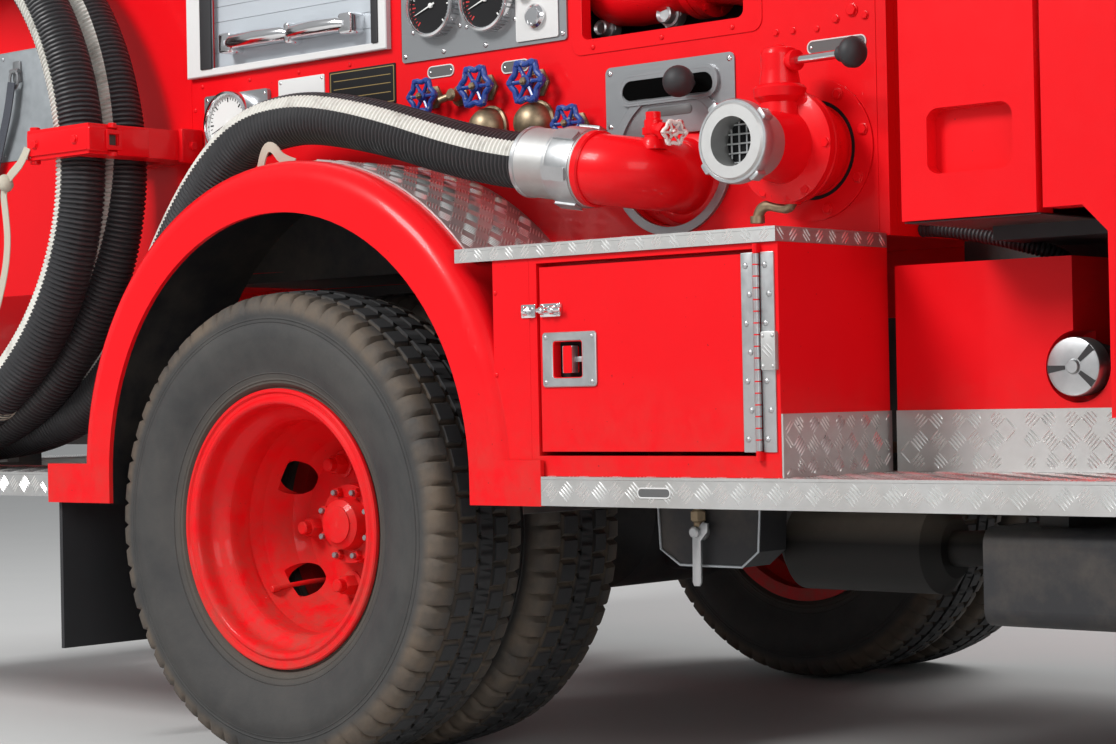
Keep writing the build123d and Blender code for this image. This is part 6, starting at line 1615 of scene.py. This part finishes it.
# Light bar: ribbed red domes at each end of an aluminium base on two feet, with a speaker between them behind
# louvres.
bar_x = 2.14
bar_z = 2.13
domes = Form()
bar_section = [Vector((bar_x + p.x, p.y)) for p in rounded(-0.129, 0.129, bar_z, 2.234, 0.038)]


def across_bar(y, narrow, flat):
    # the bar's section at y, drawn in by these shares towards the middle of its base
    return [Vector((bar_x + (p.x - bar_x) * narrow, y, bar_z + (p.y - bar_z) * flat)) for p in bar_section]


for y0, y1 in ((-0.628, -0.21), (0.21, 0.628)):
    domes.skin([across_bar(y0 + (y1 - y0) * k / 40, *([1.0 if k % 2 else 0.988] * 2)) for k in range(41)])
domes.make("light_bar_domes", lens_red, sharp=60)
bar_base = Form()
for y0, y1 in ((-0.64, -0.626), (-0.212, -0.196), (0.196, 0.212), (0.626, 0.64)):
    bar_base.skin([[Vector((p.x, y, p.y)) for p in bar_section] for y in (y0, y1)])
slab(bar_base, 2.01, 2.27, -0.64, 0.64, 2.111, 2.1325)
for k in range(9):
    z = 2.142 + 0.0095 * k
    slab(bar_base, 2.262, 2.268, -0.197, 0.197, z, z + 0.0048)
    slab(bar_base, 2.012, 2.018, -0.197, 0.197, z, z + 0.0048)
for y in (-0.52, 0.52):
    slab(bar_base, 2.09, 2.19, y - 0.04, y + 0.04, 2.0853, 2.112)
    for x in (2.104, 2.176):
        bar_base.bolt(Matrix.Translation((x, y + 0.05, 2.0858)), 0.0055)
    slab(bar_base, 2.094, 2.186, y + 0.039, y + 0.064, 2.0853, 2.0885)
bar_base.make("light_bar_base", alloy, replaces=("light_bar",))
speaker = Form().skin([across_bar(y, 0.95, 0.97) for y in (-0.197, 0.197)])
speaker.make("siren_speaker", plastic)

# Mirrors: bright glass in a black tray with a soft rim, carried by three stays behind it, and collars where
# its tube is clamped.
mirror_x = 2.49
mirror_y = 1.005
mirror_z = 1.53
mirror_glass = Finish("mirror_glass", (0.86, 0.88, 0.9), 0.03, 1.0, "handrail_chrome")
mirror_faces = Form()
trays = Form()
for side in (-1, 1):
    mirror_faces.plate(on_back(side * mirror_y, mirror_z, mirror_x),
        rounded(-0.064, 0.064, -0.138, 0.138, 0.012), -0.001, 0.0016)
    trays.frame(on_back(side * mirror_y, mirror_z, mirror_x), rounded(-0.075, 0.075, -0.15, 0.15, 0.018),
        rounded(-0.063, 0.063, -0.137, 0.137, 0.012), -0.036, 0.004, 0.003)
    for z in (1.44, 1.53, 1.62):
        trays.rod((2.524, side * 0.945, z), (2.524, side * 1.065, z), 0.004, 8)
    for z in (1.345, 1.4, 1.66):
        trays.rod((2.53, side * 1.0, z - 0.012), (2.53, side * 1.0, z + 0.012), 0.0125, 16, 0.002)
mirror_faces.make("mirror_faces", mirror_glass)
trays.make("mirror_trays", plastic)

# Seats: vinyl cushions sewn in channels with piped edges, on black bases; the two outer seats are wider than
# the middle one, and a bench runs across the back.
def pad(name, middle, along, up, width, depth, thick, channels):
    # the cushion runs in y; along is its depth direction and up its thickness
    middle, along, up = Vector(middle), Vector(along).normalized(), Vector(up).normalized()
    rings = []
    steps = int(width / 0.012)
    for k in range(steps + 1):
        u = 2 * k / steps - 1
        pull = 1 - 0.42 * abs(u) ** 14
        sewn = 1.0
        for place in channels:
            sewn = min(sewn, 1 - 0.085 * exp(-((u - place) * width / 2 / 0.01) ** 2))
        ring = []
        for i in range(42):
            angle = 2 * pi * i / 42
            c, s = cos(angle), sin(angle)
            x = depth / 2 * (1 if c > 0 else -1) * abs(c) ** 0.3 * (1 - 0.03 * abs(u) ** 6)
            z = thick / 2 * (1 if s > 0 else -1) * abs(s) ** 0.36 * pull
            if s > 0:
                z = z * sewn + 0.02 * pull * (1 - (2 * x / depth) ** 2) * (1 - u ** 4) * sewn ** 2
                z -= 0.006 * exp(-((2 * x / depth + 0.72) / 0.05) ** 2)
            ring.append(middle + along * x + up * z + Vector((0, width / 2 * u, 0)))
        rings.append(ring)
    piece = Form().skin(rings).make(name, vinyl, sharp=60)


vinyl = Finish("seat_vinyl", (0.055, 0.06, 0.075), 0.48, slot="seat_fabric")
grain = vinyl.node("ShaderNodeTexVoronoi", {}, {"Vector": vinyl.place(), "Scale": 420.0}, "Distance")
vinyl.set("Base Color", vinyl.mix(vinyl.cloud(9.0, 5.0), (0.042, 0.047, 0.06), (0.085, 0.09, 0.105)))
vinyl.bump(grain, 0.0004, 0.6)
seat_rear = 1.47
for name, y, width in (("driver", -0.39, 0.5), ("middle", 0.0, 0.25), ("commander", 0.39, 0.5)):
    rows = (-0.5, 0.0, 0.5) if width > 0.3 else (0.0,)
    pad(f"seat_pad_{name}", (seat_rear + 0.257, y, 1.002), (1, 0, 0.03),
        (-0.03, 0, 1), width - 0.012, 0.515, 0.108, rows)
    pad(f"seat_back_{name}", (seat_rear - 0.102, y, 1.335), (-0.148, 0, 1),
        (1, 0, 0.148), width - 0.016, 0.6, 0.11, rows)
bench_rows = (-0.66, -0.33, 0.0, 0.33, 0.66)
pad("bench_pad", (0.42, 0, 0.955), (1, 0, 0.02), (-0.02, 0, 1), 1.44, 0.515, 0.105, bench_rows)
pad("bench_back", (0.178, 0, 1.27), (-0.0775, 0, 1), (1, 0, 0.0775), 1.44, 0.6, 0.092, bench_rows)
bases = Form()
for y, width in ((-0.39, 0.47), (0.0, 0.225), (0.39, 0.47)):
    slab(bases, seat_rear + 0.01, seat_rear + 0.5, y - width / 2, y + width / 2, 0.9303, 0.962)
slab(bases, 0.3653, 0.64, -0.715, 0.715, 0.7453, 0.912)
bases.make("seat_bases", plastic, replaces=("seats",))

# Dashboard: two dials in a hood before the driver, a row of switches and a radio on the slope, and a horn
# pad on the wheel.
dash = Form()
dash_dials = Form()
dash_slope = towards((2.44, 0, 1.18), (-0.6, 0, 0.8), (0, 0, 1))
for y in (-0.455, -0.325):
    place = dash_slope @ Matrix.Translation((-y, 0.0, 0.0))
    dash.lathe(place, mm((-4, 52), (14, 50), (15, 46), (4, 43), (-4, 43)), 36, True)
    dash_dials.lathe(place, mm((-1, 43), (3.5, 43), (3.6, 0)), 36)
for k in range(9):
    place = dash_slope @ Matrix.Translation((0.2 - 0.045 * k, 0.0, 0.0))
    dash.plate(place, rounded(-0.012, 0.012, -0.018, 0.018, 0.003), -0.002, 0.009, 0.003)
dash.plate(dash_slope @ Matrix.Translation((-0.36, 0.0, 0)),
    rounded(-0.095, 0.095, -0.03, 0.03, 0.005), -0.002, 0.01, 0.003)
wheel_turn = towards((2.27, -0.39, 1.28), (-0.55, 0, 0.835), (0, 0, 1))
dash.lathe(wheel_turn, mm((-20, 60), (12, 58), (22, 50), (26, 30), (27, 0)), 36)
dash.make("dashboard_fittings", plastic)
dash_dials.make("dashboard_dials", dial_black)

# Body top and back: rubber feet and rung collars on the ladder, straps over it, slatted hose bed, lamp
# lenses in three colours, reflectors, and a pale frame and two grab rails beside the rear shutter.
ladder_trim = Form()
for y in (0.12, 0.52):
    for x0, x1 in ((-2.6152, -2.585), (-0.034, -0.0038)):
        slab(ladder_trim, x0, x1, y - 0.0012, y + 0.0272, 1.9888, 2.0552)
ladder_trim.make("ladder_feet", plastic)
collars = Form()
rung_z = 2.022
for k in range(8):
    x = -2.455 + 0.32 * k
    for y in (0.146, 0.515):
        collars.rod((x, y, rung_z), (x, y + 0.005, rung_z), 0.022, 16, 0.001)
    for y0 in (0.175, 0.25, 0.325, 0.4, 0.475):
        collars.rod((x, y0, rung_z), (x, y0 + 0.014, rung_z), 0.0162, 14, 0.0008)
for k in range(14):
    y = -0.585 + 0.09 * k
    slab(collars, -2.58, -0.12, y - 0.028, y + 0.028, 1.4663, 1.4715)
collars.make("ladder_collars_and_bed_slats", alloy)
tie_downs = Form()
for x in (-2.305, -0.394):
    ribbon(tie_downs, [(x, 0.106, 1.972), (x, 0.108, 2.04), (x, 0.114, 2.0565), (x, 0.33, 2.0575),
        (x, 0.552, 2.0565), (x, 0.558, 2.04), (x, 0.56, 1.972)], 0.028, 0.002, (1, 0, 0))
tie_downs.make("ladder_straps", webbing, sharp=50)
tail_x = -2.675
tail_y = 0.61
for name, finish, z0, z1 in (("stop", lens_red, 0.982, 1.052), ("turn", amber, 0.91, 0.976),
        ("reverse", lens_clear, 0.838, 0.904)):
    lens = Form()
    for side in (-1, 1):
        for k in range(6):
            y = -0.044 + 0.0148 * k
            lens.plate(on_back(side * tail_y, 0.0, tail_x),
                rounded(y, y + 0.0138, z0, z1, 0.004), -0.002, 0.006, 0.0015)
    lens.make(f"tail_lens_{name}", finish)
back = Form()
back_wall = -2.635
shutter_edge = rounded(-0.542, 0.542, 0.858, 1.792, 0.004)
back.frame(on_back(0, 0, -2.647), shutter_edge, inset(shutter_edge, 0.05), 0.0, 0.003, 0.001)
back.make("rear_shutter_frame", panel_white)
grips = Form()
for side in (-1, 1):
    y = side * 0.612
    grips.sweep([(-2.634, y, 1.18), (-2.672, y, 1.18), (-2.69, y, 1.2), (-2.69, y, 1.4), (-2.69, y, 1.6),
        (-2.672, y, 1.62), (-2.634, y, 1.62)], 0.011, 14)
    for z in (1.18, 1.62):
        grips.lathe(on_back(y, z, back_wall), mm((0, 28), (4, 27), (6, 16)), 24)
grips.make("rear_grab_rails", chrome)
reflectors = Form()
for side in (-1, 1):
    reflectors.lathe(on_back(side * tail_y, 1.105, back_wall), mm((0, 34), (6, 34), (9, 30), (9.5, 0)), 30)
reflectors.make("rear_reflectors", lens_red)
